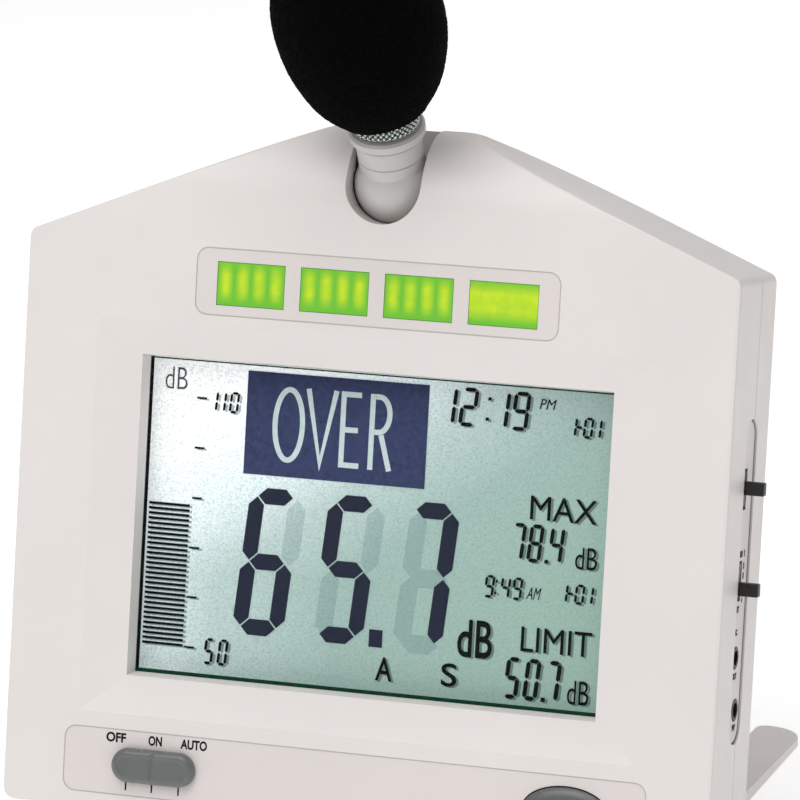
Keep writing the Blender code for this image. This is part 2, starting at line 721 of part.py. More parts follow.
def side_controls():
    back = HALF_WIDTH - SIDE_RECESS_DEPTH + GAP
    front, rear, bottom, top = grown(SIDE_RECESS, -GAP)
    panel = prism("side_panel", [pill((front, rear, bottom, top))], "X", back, back + 0.8)
    keep(cut(panel, *side_holes(GAP)), "label_film", CASING, "side_panel")
    inner = HALF_WIDTH - WALL - GAP
    half_depth, half_height = SIDE_KNOB_SIZE[0] / 2, SIDE_KNOB_SIZE[1] / 2
    for index, (low, high, rest) in enumerate(SIDE_SWITCH_SLOTS, start=1):
        middle = (low + high) / 2
        body = box(
            "body",
            (SIDE_PARTS_INNER, SIDE_SWITCH_DEPTH - 3.0, middle - 6.0),
            (inner, SIDE_SWITCH_DEPTH + 3.0, middle + 6.0),
        )
        keep(body, "black_plastic", CASING, f"side_switch_body_{index}")
        pivot = empty(f"side_switch_{index}_slide", (HALF_WIDTH, SIDE_SWITCH_DEPTH, rest), CASING)
        root = inner + GAP - HALF_WIDTH
        knob = box("knob", (root, -half_depth, -half_height), (SIDE_KNOB_PROUD, half_depth, half_height))
        keep(bevelled(knob, 0.35), "black_plastic", pivot, f"side_switch_knob_{index}")
    near, far = SIDE_BOARD
    board = box("side_board", (near, 9.0, 31.0), (far, 23.0, 99.0))
    keep(board, "circuit_board", CASING)
    for name, (depth, height) in JACKS.items():
        ends = [(x, depth, height) for x in (SIDE_PARTS_INNER, HALF_WIDTH - 0.4)]
        body = cylinder(name, JACK_RADIUS, *ends, sides=28)
        bore_ends = [(x, depth, height) for x in (82.4, HALF_WIDTH + 5)]
        body = cut(body, cylinder("bore", JACK_BORE_RADIUS, *bore_ends))
        if name == "power_jack":
            pin = cylinder("pin", 0.7, (82.0, depth, height), (HALF_WIDTH - 1.4, depth, height), sides=12)
            body = join(body, pin)
        keep(body, "black_plastic", CASING, name)


# Microphone ----------------------------------------------------------------------------------------


def microphone():
    """Built along +Z from the ball's centre, then tilted forward about the pin by its pivot."""
    pivot = empty("mic_tilt", BALL_CENTRE, CASING, tilt=MIC_TILT)
    start_angle = math.degrees(math.acos(NECK_RADIUS / BALL_RADIUS))
    collar_radius, collar_bottom, collar_top = COLLAR
    neck_top = collar_bottom - GAP
    socket = NECK_SOCKET_RADIUS
    groove = NECK_RADIUS - 0.35
    profile = [(0, 8.0), (socket, 8.0), (socket, neck_top)]
    profile += [(NECK_RADIUS - 0.4, neck_top), (NECK_RADIUS, neck_top - 0.4)]
    profile += [(NECK_RADIUS, NECK_SEAM + 0.2), (groove, NECK_SEAM), (NECK_RADIUS, NECK_SEAM - 0.2)]
    profile += arc((0, 0), BALL_RADIUS, start_angle, -90, 16)
    profile[-1] = (0, -BALL_RADIUS)
    neck = turned("mic_neck", profile)
    neck = cut(neck, cylinder("pin_hole", 1.8, (-15, 0, 0), (15, 0, 0)))
    keep(neck, "mic_plastic", pivot, "mic_neck")
    ring = [
        (socket, collar_top),
        (collar_radius - 0.6, collar_top),
        (collar_radius, collar_top - 0.6),
        (collar_radius, collar_bottom + 0.6),
        (collar_radius - 0.6, collar_bottom),
        (socket, collar_bottom),
        (socket, collar_top),
    ]
    keep(turned("mic_collar", ring), "mic_plastic", pivot)
    knurl_radius, knurl_bottom, knurl_top = KNURL
    barrel_radius, barrel_top = BARREL
    stem = socket - GAP
    barrel = [
        (0, barrel_top),
        (barrel_radius, barrel_top),
        (barrel_radius, knurl_top),
        (knurl_radius, knurl_top),
        (knurl_radius, knurl_bottom),
        (stem, knurl_bottom),
        (stem, 8.4),
        (0, 8.4),
    ]
    keep(turned("mic_barrel", barrel), "knurled_metal", pivot)
    cap_top = barrel_top + 3.2
    cap = [(0, cap_top), (barrel_radius - 0.8, cap_top), (barrel_radius, cap_top - 0.8)]
    cap += [(barrel_radius, barrel_top + GAP), (0, barrel_top + GAP)]
    keep(turned("mic_capsule", cap), "steel", pivot)
    windscreen(pivot, cap_top)
    reach = BALL_RADIUS + 3.2
    x, depth, height = BALL_CENTRE
    pin = cylinder("mic_pin", 1.5, (x - reach, depth, height), (x + reach, depth, height), sides=20)
    keep(pin, "steel", CASING)
    inner, outer = BALL_RADIUS + 0.8, BALL_RADIUS + 3.8
    bottom = height - BALL_RADIUS - 4.4
    bracket = prism(
        "mic_bracket",
        [[(-outer, bottom), (outer, bottom), (outer, 160.6), (inner, 160.6), (inner, bottom + 3.6)]
         + [(-inner, bottom + 3.6), (-inner, 160.6), (-outer, 160.6)]],
        "Y",
        7.7,
        18.3,
    )
    bracket = cut(bracket, cylinder("pin_hole", 1.8, (-20, depth, height), (20, depth, height), sides=20))
    keep(bracket, "black_plastic", CASING, "mic_bracket")


def windscreen(pivot, cap_top):
    """An egg of open-cell foam with a blind bore that follows the barrel."""
    mouth_radius, mouth = FOAM_MOUTH
    upper = arc((0, FOAM_MIDDLE), FOAM_RADIUS, 90, 0, 12, FOAM_UPPER_LENGTH / FOAM_RADIUS)
    upper[0] = (0, FOAM_MIDDLE + FOAM_UPPER_LENGTH)
    lower = arc((0, FOAM_MIDDLE), FOAM_RADIUS, 0, -56, 9, FOAM_LOWER_LENGTH / FOAM_RADIUS)
    rim = [(mouth_radius - 0.4, mouth), (0, mouth)]
    foam = turned("windscreen", upper + lower[1:] + rim)
    hinge = Vector((0, 0, mouth * MM))
    crook = Matrix.Rotation(-FOAM_CROOK, 4, "Y")
    moved(foam, Matrix.Translation(hinge) @ crook @ Matrix.Translation(-hinge))
    foam = cut(
        foam,
        cylinder("bore", BARREL[0] + GAP, (0, 0, 10), (0, 0, cap_top + GAP)),
        cylinder("mouth", KNURL[0] + GAP, (0, 0, 10), (0, 0, KNURL[2] + GAP)),
    )
    keep(foam, "foam", pivot, "windscreen")


# Stand ---------------------------------------------------------------------------------------------


def legs():
    """Each leg is built flat on the table, with its hinge axis through its own origin."""
    depth, height = leg_axis()
    for side, (low, high) in leg_spans().items():
        middle = (low + high) / 2
        outward = math.copysign(1, middle)
        pivot = empty(f"leg_{side}_fold", (middle, depth, height), CASING, tilt=LEAN)
        half = (high - low) / 2
        under = LEG_LIFT - LEG_AXIS_HEIGHT
        inner_corner, outer_corner = LEG_CORNERS
        corners = [(GAP - half, 0, 0), (LEG_WIDTH - half, 0, 0), (half, LEG_LENGTH, outer_corner)]
        corners.append((half - LEG_WIDTH, LEG_LENGTH, inner_corner))
        plan = [(outward * x, y) for x, y in rounded(corners, 7)]
        side_view = [(0, under), (LEG_LENGTH, under)]
        side_view += [(LEG_LENGTH, under + LEG_TIP_THICKNESS), (0, under + LEG_THICKNESS)]
        plate = common(prism("plate", [plan], "Z", -5, 5), prism("wedge", [side_view], "X", -20, 20))
        barrel = cylinder("barrel", LEG_BARREL_RADIUS, (-half, 0, 0), (half, 0, 0), sides=28)
        pad_x = outward * (half - LEG_WIDTH / 2 - 0.6)
        pad_low, pad_high = LEG_LENGTH - 21.0, LEG_LENGTH - 10.0
        seat_low = (pad_x - 4.0, pad_low - GAP, -10)
        seat_high = (pad_x + 4.0, pad_high + GAP, under + PAD_DEPTH)
        leg = cut(
            join(plate, barrel),
            cylinder("pin_hole", PIN_RADIUS + GAP, (-half - 5, 0, 0), (half + 5, 0, 0), sides=20),
            box("seat", seat_low, seat_high),
        )
        keep(leg, "casing_plastic", pivot, f"leg_{side}")
        pad_top = under + PAD_DEPTH - GAP
        pad = box("pad", (pad_x - 3.7, pad_low, -LEG_AXIS_HEIGHT), (pad_x + 3.7, pad_high, pad_top))
        keep(pad, "rubber", pivot, f"leg_pad_{side}")
        ends = [(x, depth, height) for x in (low - PIN_REACH, high + PIN_REACH)]
        pin = cylinder("pin", PIN_RADIUS, *ends, sides=20)
        keep(pin, "steel", CASING, f"leg_pin_{side}")


# Battery bay ---------------------------------------------------------------------------------------


def batteries():
    number = 0
    for height in CELL_HEIGHTS:
        for start in (-CELL_LENGTH - 0.6, 0.6):
            number += 1
            nub = start + CELL_LENGTH
            can_ends = [(x, CELL_DEPTH, height) for x in (start, nub - 1.0)]
            can = cylinder("can", CELL_RADIUS, *can_ends, sides=28)
            tip_ends = [(x, CELL_DEPTH, height) for x in (nub - 2.0, nub)]
            tip = cylinder("tip", 1.9, *tip_ends, sides=16)
            keep(join(can, tip), "cell_wrap", CASING, f"battery_{number}")
    _, right, bottom, top = BAY
    for side, sign in (("left", -1), ("right", 1)):
        xs = sorted((sign * (right - GAP), sign * (right - 1.3)))
        contact = box("contact", (xs[0], 19.0, bottom + 1.0), (xs[1], 28.4, top - 1.0))
        keep(contact, "steel", CASING, f"battery_contact_{side}")
    pivot = empty("battery_door_pull", (0, DEPTH, (DOOR[2] + DOOR[3]) / 2), CASING)
    half_height = (DOOR[3] - DOOR[2]) / 2
    plate = slab("plate", (DOOR[0], DOOR[1], -half_height, half_height), -DOOR_THICKNESS, -0.1)
    ribs = []
    for number in range(DOOR_RIB_COUNT):
        rib_bottom = half_height - 4.6 + DOOR_RIB_PITCH * number
        rib_area = (-9, 9, rib_bottom, rib_bottom + DOOR_RIB_THICKNESS)
        ribs.append(slab("rib", rib_area, -1.2, 0.35))
    keep(join(plate, *ribs), "casing_plastic", pivot, "battery_door")


# Fasteners -----------------------------------------------------------------------------------------


def fasteners():
    head, seat, face = SCREW_HEAD
    shank, tip = SCREW_SHANK
    profile = [(0, face), (head - 0.5, face), (head, face - 0.5), (head, seat)]
    profile += [(shank, seat), (shank, tip), (0, tip)]
    for number, (x, z) in enumerate(CASE_SCREWS, start=1):
        screw = turned("screw", profile, 20)
        moved(screw, Matrix.Translation((x * MM, 0, z * MM)) @ Matrix.Rotation(math.radians(-90), 4, "X"))
        keep(screw, "steel", CASING, f"case_screw_{number}")
    insert_radius, insert_front = TRIPOD_INSERT
    insert_ends = [(0, y, TRIPOD_HEIGHT) for y in (insert_front, DEPTH - GAP)]
    insert = cylinder("insert", insert_radius, *insert_ends, sides=28)
    bore_radius, bore_front = TRIPOD_BORE
    bore_ends = [(0, y, TRIPOD_HEIGHT) for y in (bore_front, DEPTH + 5)]
    bore = cylinder("bore", bore_radius, *bore_ends, sides=24)
    keep(cut(insert, bore), "brass", CASING, "tripod_insert")


front_casing()
rear_casing()
labels()
lamps()
display()
function_switch()
light_button()
side_controls()
microphone()
legs()
batteries()
fasteners()
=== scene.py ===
import json
import math

import bpy
import numpy as np
from mathutils import Matrix, Vector, noise


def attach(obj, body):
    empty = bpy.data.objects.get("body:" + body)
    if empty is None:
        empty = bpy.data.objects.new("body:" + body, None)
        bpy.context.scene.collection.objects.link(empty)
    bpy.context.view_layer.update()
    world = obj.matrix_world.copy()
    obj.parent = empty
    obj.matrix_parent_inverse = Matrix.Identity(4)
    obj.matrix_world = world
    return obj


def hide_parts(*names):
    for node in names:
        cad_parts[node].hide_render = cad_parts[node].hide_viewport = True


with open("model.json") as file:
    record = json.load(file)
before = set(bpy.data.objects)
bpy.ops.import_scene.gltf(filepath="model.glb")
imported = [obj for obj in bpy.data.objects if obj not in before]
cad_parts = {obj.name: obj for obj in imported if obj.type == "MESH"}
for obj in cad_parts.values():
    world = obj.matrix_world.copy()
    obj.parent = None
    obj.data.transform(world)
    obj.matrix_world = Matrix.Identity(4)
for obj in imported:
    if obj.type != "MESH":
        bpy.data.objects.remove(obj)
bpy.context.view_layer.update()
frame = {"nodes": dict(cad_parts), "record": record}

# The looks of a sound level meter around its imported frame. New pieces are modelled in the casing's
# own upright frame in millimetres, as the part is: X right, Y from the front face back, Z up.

MM = 0.001

TRIPOD_FACE = (12.0, 32.0, 72.0)  # the tripod mount's place in the casing's frame
BALL_CENTRE = (0.0, 10.3, 155.1)
MIC_TILT = math.radians(34.0)

# Depths of thin printed layers and of the ink's painted shadow, front and back
INK_DEPTHS = (11.82, 11.88)
OVER_DEPTHS = (11.77, 11.81)
SHADOW_DEPTHS = (11.92, 11.96)
GHOST_DEPTHS = (11.97, 11.99)
PRINT_DEPTHS = (0.045, 0.075)
ICON_DEPTHS = (-1.535, -1.49)
SIDE_LAYER_DEPTHS = (88.505, 88.54)
PANE_EDGE_DEPTHS = (6.8, 6.87)
# How far to the right and down the ink's shadow falls
SHADOW_SHIFT = (0.62, -0.3)

# Painted shade: a black strip in the hollow behind the display well's wall, where the eye reaches it
EDGE_SHADE_AREA = (-59.7, 59.7, 33.3, 110.0)
EDGE_SHADE_DEPTHS = (11.76, 11.8)
EDGE_SHADE_SIDE, EDGE_SHADE_FOOT = 1.3, 1.2
PANE_EDGE_AREA = (-58.5, 58.5, 33.4, 109.8)
PANE_EDGE_TOP, PANE_EDGE_SIDE, PANE_EDGE_FOOT = 0.35, 0.5, 0.8

# The front labels' outlines at the middle of the gap round them
LABELS = ((-45.45, 45.45, 121.35, 137.35), (-73.25, 73.25, 3.85, 19.65))
LABEL_CORNER = 2.85
# Painted shade in the gaps round the labels: grey strips in them
GAP_SHADE_WIDTH = 0.28
GAP_SHADE_DEPTHS = (0.12, 0.5)

# Lamps
LAMP_CENTRES = (-31.65, -10.55, 10.55, 31.65)
LAMP_WIDTH = 16.9
LAMP_MIDDLE = 129.0
LAMP_HALF_HEIGHT = 5.1
LAMP_BASE_GLOW = (0.0, 0.05, 0.0, 0.72)

# Camera
CAMERA_TARGET = (7.4, 0.0, 104.7)
CAMERA_DISTANCE = 1328.0
CAMERA_YAW, CAMERA_PITCH, CAMERA_ROLL = (math.radians(a) for a in (18.74, 4.67, 3.15))
CAMERA_LENS = 253.2


def casing_frame():
    """Millimetres in the casing's frame to metres in the row frame, from where the tripod mount is."""
    mounts = {mount["name"]: mount for mount in frame["record"]["mounts"]}
    mount = mounts["tripod_face"]
    axis = Vector(mount["axis"])
    turn = Matrix.Rotation(math.atan2(axis.z, axis.y), 4, "X")
    origin = Vector(mount["pos_m"]) - turn @ (Vector(TRIPOD_FACE) * MM)
    return Matrix.Translation(origin) @ turn @ Matrix.Scale(MM, 4)


CASING = casing_frame()
MICROPHONE = CASING @ Matrix.Translation(BALL_CENTRE) @ Matrix.Rotation(MIC_TILT, 4, "X")


# Materials ---------------------------------------------------------------------------------------

for packed in frame["nodes"].values():
    packed.data.materials.clear()
for plain in list(bpy.data.materials):
    bpy.data.materials.remove(plain)

MIX_FIRST, MIX_SECOND, MIX_RESULT = 6, 7, 2  # the Mix node's colour sockets


class Nodes:
    """Short calls for building one material's node tree."""

    def __init__(self, name):
        self.material = bpy.data.materials.new(name)
        self.material.use_nodes = True
        self.tree = self.material.node_tree
        self.shader = self.tree.nodes["Principled BSDF"]
        self.place = self.add("TexCoord").outputs["Object"]

    def add(self, kind, **settings):
        node = self.tree.nodes.new("ShaderNode" + kind)
        for key, value in settings.items():
            setattr(node, key, value)
        return node

    def put(self, socket, value):
        if isinstance(value, bpy.types.NodeSocket):
            self.tree.links.new(value, socket)
        else:
            socket.default_value = value

    def noise(self, scale, detail=2.0, roughness=0.5):
        node = self.add("TexNoise")
        self.put(node.inputs["Vector"], self.place)
        self.put(node.inputs["Scale"], scale)
        self.put(node.inputs["Detail"], detail)
        self.put(node.inputs["Roughness"], roughness)
        return node.outputs["Fac"]

    def cells(self, scale):
        node = self.add("TexVoronoi")
        self.put(node.inputs["Vector"], self.place)
        self.put(node.inputs["Scale"], scale)
        return node.outputs["Distance"]

    def math(self, operation, *values, clamp=False):
        node = self.add("Math", operation=operation, use_clamp=clamp)
        for socket, value in zip(node.inputs, values):
            self.put(socket, value)
        return node.outputs[0]

    def spread(self, value, low, high, low_out, high_out):
        """The value's range from low to high, clamped, as low_out to high_out."""
        node = self.add("MapRange")
        for socket, part in zip(node.inputs, (value, low, high, low_out, high_out)):
            self.put(socket, part)
        return node.outputs["Result"]

    def mix(self, share, first, second):
        node = self.add("Mix", data_type="RGBA")
        self.put(node.inputs[0], share)
        self.put(node.inputs[MIX_FIRST], first)
        self.put(node.inputs[MIX_SECOND], second)
        return node.outputs[MIX_RESULT]

    def axes(self):
        node = self.add("SeparateXYZ")
        self.put(node.inputs[0], self.place)
        return node.outputs

    def bump(self, height, strength, distance):
        node = self.add("Bump")
        self.put(node.inputs["Strength"], strength)
        self.put(node.inputs["Distance"], distance)
        self.put(node.inputs["Height"], height)
        return node.outputs["Normal"]

    def finish(self, **sockets):
        for name, value in sockets.items():
            self.put(self.shader.inputs[name.replace("_", " ")], value)
        return self.material


def linear(red, green, blue):
    """An sRGB colour given as 0 to 255, as Blender's linear one."""
    parts = [channel / 255 for channel in (red, green, blue)]
    made = [p / 12.92 if p <= 0.04045 else ((p + 0.055) / 1.055) ** 2.4 for p in parts]
    return (*made, 1.0)


def scaled(colour, factor):
    """The colour made darker or lighter, no channel over one."""
    return (*(min(1.0, channel * factor) for channel in colour[:3]), 1.0)


def grained(nodes, colour, variety, grain):
    """A colour with a broad drift and a fine speckle, and the fine grain itself."""
    fine = nodes.noise(grain, 3.0, 0.6)
    drift = nodes.spread(nodes.noise(24.0, 3.0), 0.3, 0.7, 0.0, 1.0)
    base = nodes.mix(drift, scaled(colour, 1 - variety), scaled(colour, 1 + variety * 0.5))
    speck = nodes.spread(fine, 0.52, 0.75, 0.0, min(1.0, variety * 5))
    return nodes.mix(speck, base, scaled(colour, 1 - 2.4 * variety)), fine


def moulded(name, colour, roughness, grain=2600.0, relief=0.00003, variety=0.03):
    """Plastic or rubber: colour drift and speckle, uneven gloss and a fine grained skin."""
    nodes = Nodes(name)
    base, fine = grained(nodes, colour, variety, grain)
    gloss = nodes.spread(nodes.noise(150.0, 4.0), 0.3, 0.7, roughness - 0.06, roughness + 0.06)
    normal = nodes.bump(fine, 0.35, relief)
    return nodes.finish(Base_Color=base, Roughness=gloss, Normal=normal)


def metal(name, colour, roughness):
    """Bare metal: uneven gloss and a fine turned grain."""
    nodes = Nodes(name)
    base, fine = grained(nodes, colour, 0.05, 1800.0)
    gloss = nodes.spread(nodes.noise(420.0, 5.0), 0.3, 0.7, roughness - 0.09, roughness + 0.1)
    return nodes.finish(
        Base_Color=base, Roughness=gloss, Metallic=1.0, Normal=nodes.bump(fine, 0.25, 0.00002)
    )


def board(name):
    """Green lacquered board with a faint mesh of tracks."""
    nodes = Nodes(name)
    tracks = nodes.spread(nodes.cells(420.0), 0.1, 0.5, 0.0, 1.0)
    base = nodes.mix(tracks, (0.05, 0.3, 0.12, 1.0), (0.02, 0.15, 0.06, 1.0))
    gloss = nodes.spread(nodes.noise(260.0), 0.3, 0.7, 0.3, 0.5)
    normal = nodes.bump(tracks, 0.4, 0.00004)
    return nodes.finish(Base_Color=base, Roughness=gloss, Normal=normal)


def foam_skin(name):
    """Black open-cell foam: painted shade in the pits between the cell walls, a little dust on the walls.
    """
    nodes = Nodes(name)
    pits = nodes.cells(1500.0)
    fluff = nodes.noise(5200.0, 3.0, 0.7)
    dust = nodes.spread(nodes.noise(300.0, 4.0), 0.5, 0.8, 0.0, 0.35)
    walls = nodes.mix(dust, (0.0009, 0.001, 0.0009, 1.0), (0.0032, 0.0036, 0.0032, 1.0))
    # The pits are darker than the cell walls: painted shade
    base = nodes.mix(nodes.spread(pits, 0.1, 0.6, 0.0, 1.0), (0.0003, 0.0003, 0.0003, 1.0), walls)
    height = nodes.math("ADD", pits, nodes.math("MULTIPLY", fluff, 0.6))
    normal = nodes.bump(height, 0.9, 0.0003)
    gloss = nodes.spread(fluff, 0.3, 0.7, 0.88, 1.0)
    return nodes.finish(
        Base_Color=base, Roughness=gloss, Normal=normal, Specular_IOR_Level=0.05
    )


def lamp_lens(name, centre, base_glow):
    """Green lens over four lit chips, whose glow shows through it as soft upright bars."""
    nodes = Nodes(name)
    x, _, z = nodes.axes()
    pitch = LAMP_WIDTH / 4 * MM
    left = (centre - LAMP_WIDTH / 2) * MM
    turns = nodes.math("MULTIPLY", nodes.math("SUBTRACT", x, left + pitch / 2), math.tau / pitch)
    bars = nodes.math("MULTIPLY_ADD", nodes.math("COSINE", turns), 0.5, 0.5)
    bars = nodes.math("POWER", bars, 0.8)
    middle = (CASING @ Vector((0, 0, LAMP_MIDDLE))).z
    reach = LAMP_HALF_HEIGHT * MM
    away = nodes.math("ABSOLUTE", nodes.math("SUBTRACT", z, middle + 0.0004))
    upright = nodes.spread(away, reach * 0.35, reach * 0.95, 1.0, 0.0)
    cloud = nodes.noise(330.0, 2.0)
    glow = nodes.math("MAXIMUM", nodes.math("MULTIPLY", bars, 0.75), base_glow)
    glow = nodes.math("MULTIPLY", glow, upright)
    glow = nodes.math("MULTIPLY", glow, nodes.spread(cloud, 0.3, 0.7, 0.75, 1.15), clamp=True)
    base = nodes.mix(glow, linear(98, 178, 44), linear(196, 216, 24))
    return nodes.finish(
        Base_Color=base,
        Roughness=nodes.spread(nodes.noise(500.0), 0.3, 0.7, 0.28, 0.4),
        Normal=nodes.bump(nodes.noise(900.0), 0.15, 0.00003),
        Emission_Color=base,
        Emission_Strength=0.2,
    )


# Painted light on the display: a painted reflection, paler towards the upper left, and a glow that makes
# up for the light the deep well shuts out
DISPLAY_PAINTED_GLOW = 0.58
PAINTED_REFLECTION_ACROSS, PAINTED_REFLECTION_DOWN = (-0.062, 0.058), (0.112, 0.06)  # where each fade of the painted reflection starts and ends, metres
PAINTED_ACROSS_SHARE, PAINTED_DOWN_SHARE = 0.62, 0.46
DISPLAY_PAINTED_REFLECTION = (
    (0.0, linear(255, 255, 255)),
    (0.2, linear(250, 253, 255)),
    (0.38, linear(214, 226, 229)),
    (0.5, linear(172, 190, 188)),
    (0.66, linear(144, 168, 162)),
    (1.0, linear(136, 162, 151)),
)


def display_with_painted_reflection(name):
    """The unlit ground of the display: a painted reflection, paler towards its upper left, a painted glow
    for the light the deep well shuts out, and a fine reflector grain.
    """
    nodes = Nodes(name)
    x, _, z = nodes.axes()
    across = nodes.spread(x, *PAINTED_REFLECTION_ACROSS, 0.0, 1.0)
    down = nodes.spread(z, *PAINTED_REFLECTION_DOWN, 0.0, 0.85)
    across = nodes.math("MULTIPLY", across, PAINTED_ACROSS_SHARE)
    shade = nodes.math("ADD", across, nodes.math("MULTIPLY", down, PAINTED_DOWN_SHARE))
    ramp = nodes.add("ValToRGB")
    stops = ramp.color_ramp.elements
    stops[0].color = DISPLAY_PAINTED_REFLECTION[0][1]
    stops[1].color = DISPLAY_PAINTED_REFLECTION[-1][1]
    for place, colour in DISPLAY_PAINTED_REFLECTION[1:-1]:
        stops.new(place).color = colour
    nodes.put(ramp.inputs["Fac"], shade)
    grain = nodes.noise(2100.0, 1.0, 0.6)
    speck = nodes.spread(grain, 0.42, 0.68, 0.0, 0.4)
    base = nodes.mix(speck, ramp.outputs["Color"], linear(112, 136, 128))
    return nodes.finish(
        Base_Color=base,
        Emission_Color=base,
        Emission_Strength=DISPLAY_PAINTED_GLOW,
        Roughness=nodes.spread(grain, 0.3, 0.7, 0.42, 0.6),
        Normal=nodes.bump(grain, 0.2, 0.00002),
        Specular_IOR_Level=0.25,
    )


def ink(name, colour, alpha=1.0, variety=0.12):
    """Dull printed ink with a faint mottle."""
    nodes = Nodes(name)
    mottle = nodes.noise(900.0, 4.0, 0.65)
    share = nodes.spread(mottle, 0.3, 0.7, 0.0, 1.0)
    base = nodes.mix(share, scaled(colour, 1 - variety), scaled(colour, 1 + 2 * variety))
    return nodes.finish(
        Base_Color=base,
        Roughness=nodes.spread(mottle, 0.3, 0.7, 0.45, 0.6),
        Normal=nodes.bump(mottle, 0.1, 0.00001),
        Specular_IOR_Level=0.1,
        Alpha=alpha,
    )


def clear_pane(name):
    """Clear pane, nearly all of it see-through, with a faint smear in its gloss."""
    nodes = Nodes(name)
    smear = nodes.noise(60.0, 5.0, 0.6)
    return nodes.finish(
        Base_Color=nodes.mix(smear, (0.02, 0.05, 0.04, 1.0), (0.04, 0.08, 0.06, 1.0)),
        Roughness=nodes.spread(smear, 0.3, 0.7, 0.03, 0.08),
        Normal=nodes.bump(nodes.noise(35.0), 0.05, 0.00005),
        Specular_IOR_Level=0.12,
        Alpha=0.05,
    )


def pressed_paper(name, colour):
    """The studio floor: pale and even, with a faint tooth."""
    nodes = Nodes(name)
    base, fine = grained(nodes, colour, 0.004, 900.0)
    return nodes.finish(
        Base_Color=base,
        Roughness=0.9,
        Normal=nodes.bump(fine, 0.1, 0.00005),
        Emission_Color=base,
        Emission_Strength=0.36,
    )


CASING_GREY = (0.745, 0.705, 0.685, 1.0)
MATERIALS = {
    "casing_plastic": moulded("casing_plastic", CASING_GREY, 0.42),
    "label_film": moulded("label_film", (0.7, 0.65, 0.635, 1.0), 0.48, grain=3600.0, relief=0.00002),
    "clear_pane": clear_pane("clear_pane"),
    "lcd_glass": display_with_painted_reflection("display_with_painted_reflection"),
    "black_plastic": moulded("black_plastic", (0.008, 0.008, 0.009, 1.0), 0.42, variety=0.2),
    "rubber": moulded(
        "rubber", (0.025, 0.025, 0.026, 1.0), 0.75, grain=1900.0, relief=0.00006, variety=0.2
    ),
    "grey_plastic": moulded("grey_plastic", (0.13, 0.14, 0.138, 1.0), 0.3, variety=0.06),
    "dark_grey_plastic": moulded("dark_grey_plastic", (0.108, 0.12, 0.118, 1.0), 0.26, variety=0.08),
    "circuit_board": board("circuit_board"),
    "light_guide": moulded("light_guide", (0.85, 0.87, 0.82, 1.0), 0.35),
    "elastomer": moulded("elastomer", (0.55, 0.3, 0.32, 1.0), 0.7, variety=0.15),
    "mic_plastic": moulded("mic_plastic", (0.55, 0.53, 0.515, 1.0), 0.34, grain=3200.0, relief=0.00002),
    "knurled_metal": metal("knurled_metal", (0.72, 0.76, 0.73, 1.0), 0.2),
    # Near-black metal for the knurl's grooves: painted shade
    "knurl_groove": metal("knurl_groove", (0.012, 0.03, 0.022, 1.0), 0.5),
    "steel": metal("steel", (0.55, 0.55, 0.56, 1.0), 0.3),
    "brass": metal("brass", (0.7, 0.5, 0.2, 1.0), 0.3),
    "foam": foam_skin("foam"),
    "cell_wrap": moulded("cell_wrap", (0.05, 0.1, 0.22, 1.0), 0.3, variety=0.1),
    "big_ink": ink("big_ink", linear(40, 42, 62)),
    "small_ink": ink("small_ink", linear(6, 6, 10)),
    "grey_ink": ink("grey_ink", linear(92, 98, 104)),
    "panel_ink": ink("panel_ink", linear(60, 66, 104), variety=0.2),
    "panel_letters": ink("panel_letters", linear(214, 232, 232), variety=0.05),
    "shadow_ink": ink("shadow_ink", linear(50, 66, 70), alpha=0.24),
    "ghost_ink": ink("ghost_ink", linear(110, 156, 172), alpha=0.08),
    "dark_print_and_painted_shade": ink("dark_print_and_painted_shade", linear(20, 18, 20), variety=0.1),
    "white_print": ink("white_print", linear(236, 238, 236), variety=0.03),
    "gap_painted_shade_grey": moulded("gap_painted_shade_grey", (0.5, 0.47, 0.455, 1.0), 0.6),
    "pane_edge": ink("pane_edge", linear(6, 56, 38), variety=0.3),
}
for number, (centre, base_glow) in enumerate(zip(LAMP_CENTRES, LAMP_BASE_GLOW), start=1):
    MATERIALS[f"lamp_{number}"] = lamp_lens(f"lamp_lens_{number}", centre, base_glow)


# Meshes ------------------------------------------------------------------------------------------


def piece(name, solids, place, material, body, sharp=30.0, replaces=()):
    points, faces = [], []
    for solid_points, solid_faces in solids:
        start = len(points)
        points += [place @ Vector(point) for point in solid_points]
        faces += [[start + index for index in face] for face in solid_faces]
    mesh = bpy.data.meshes.new(name)
    mesh.from_pydata(points, [], faces)
    mesh.shade_smooth()
    mesh.set_sharp_from_angle(angle=math.radians(sharp))
    mesh.materials.append(MATERIALS[material])
    made = bpy.data.objects.new(name, mesh)
    bpy.context.scene.collection.objects.link(made)
    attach(made, body)
    if replaces:
        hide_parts(*replaces)
    return made


def plate(outline, depths):
    """A thin solid from an anticlockwise (x, z) outline, its front and back at these depths."""
    count = len(outline)
    front, back = depths
    points = [(x, front, z) for x, z in outline] + [(x, back, z) for x, z in outline]
    faces = [list(range(count)), list(range(2 * count - 1, count - 1, -1))]
    for index in range(count):
        after = (index + 1) % count
        faces.append([index, index + count, after + count, after])
    return points, faces


def plates(outlines, depths, shift=(0.0, 0.0)):
    """A plate from each outline, all moved aside by the shift."""
    return [plate([(x + shift[0], z + shift[1]) for x, z in outline], depths) for outline in outlines]


def bar(left, right, bottom, top):
    """The outline of an upright box."""
    return [(left, bottom), (right, bottom), (right, top), (left, top)]


SHARPEST_MITRE = 0.35  # a turn's mitre is no longer than half the width over this


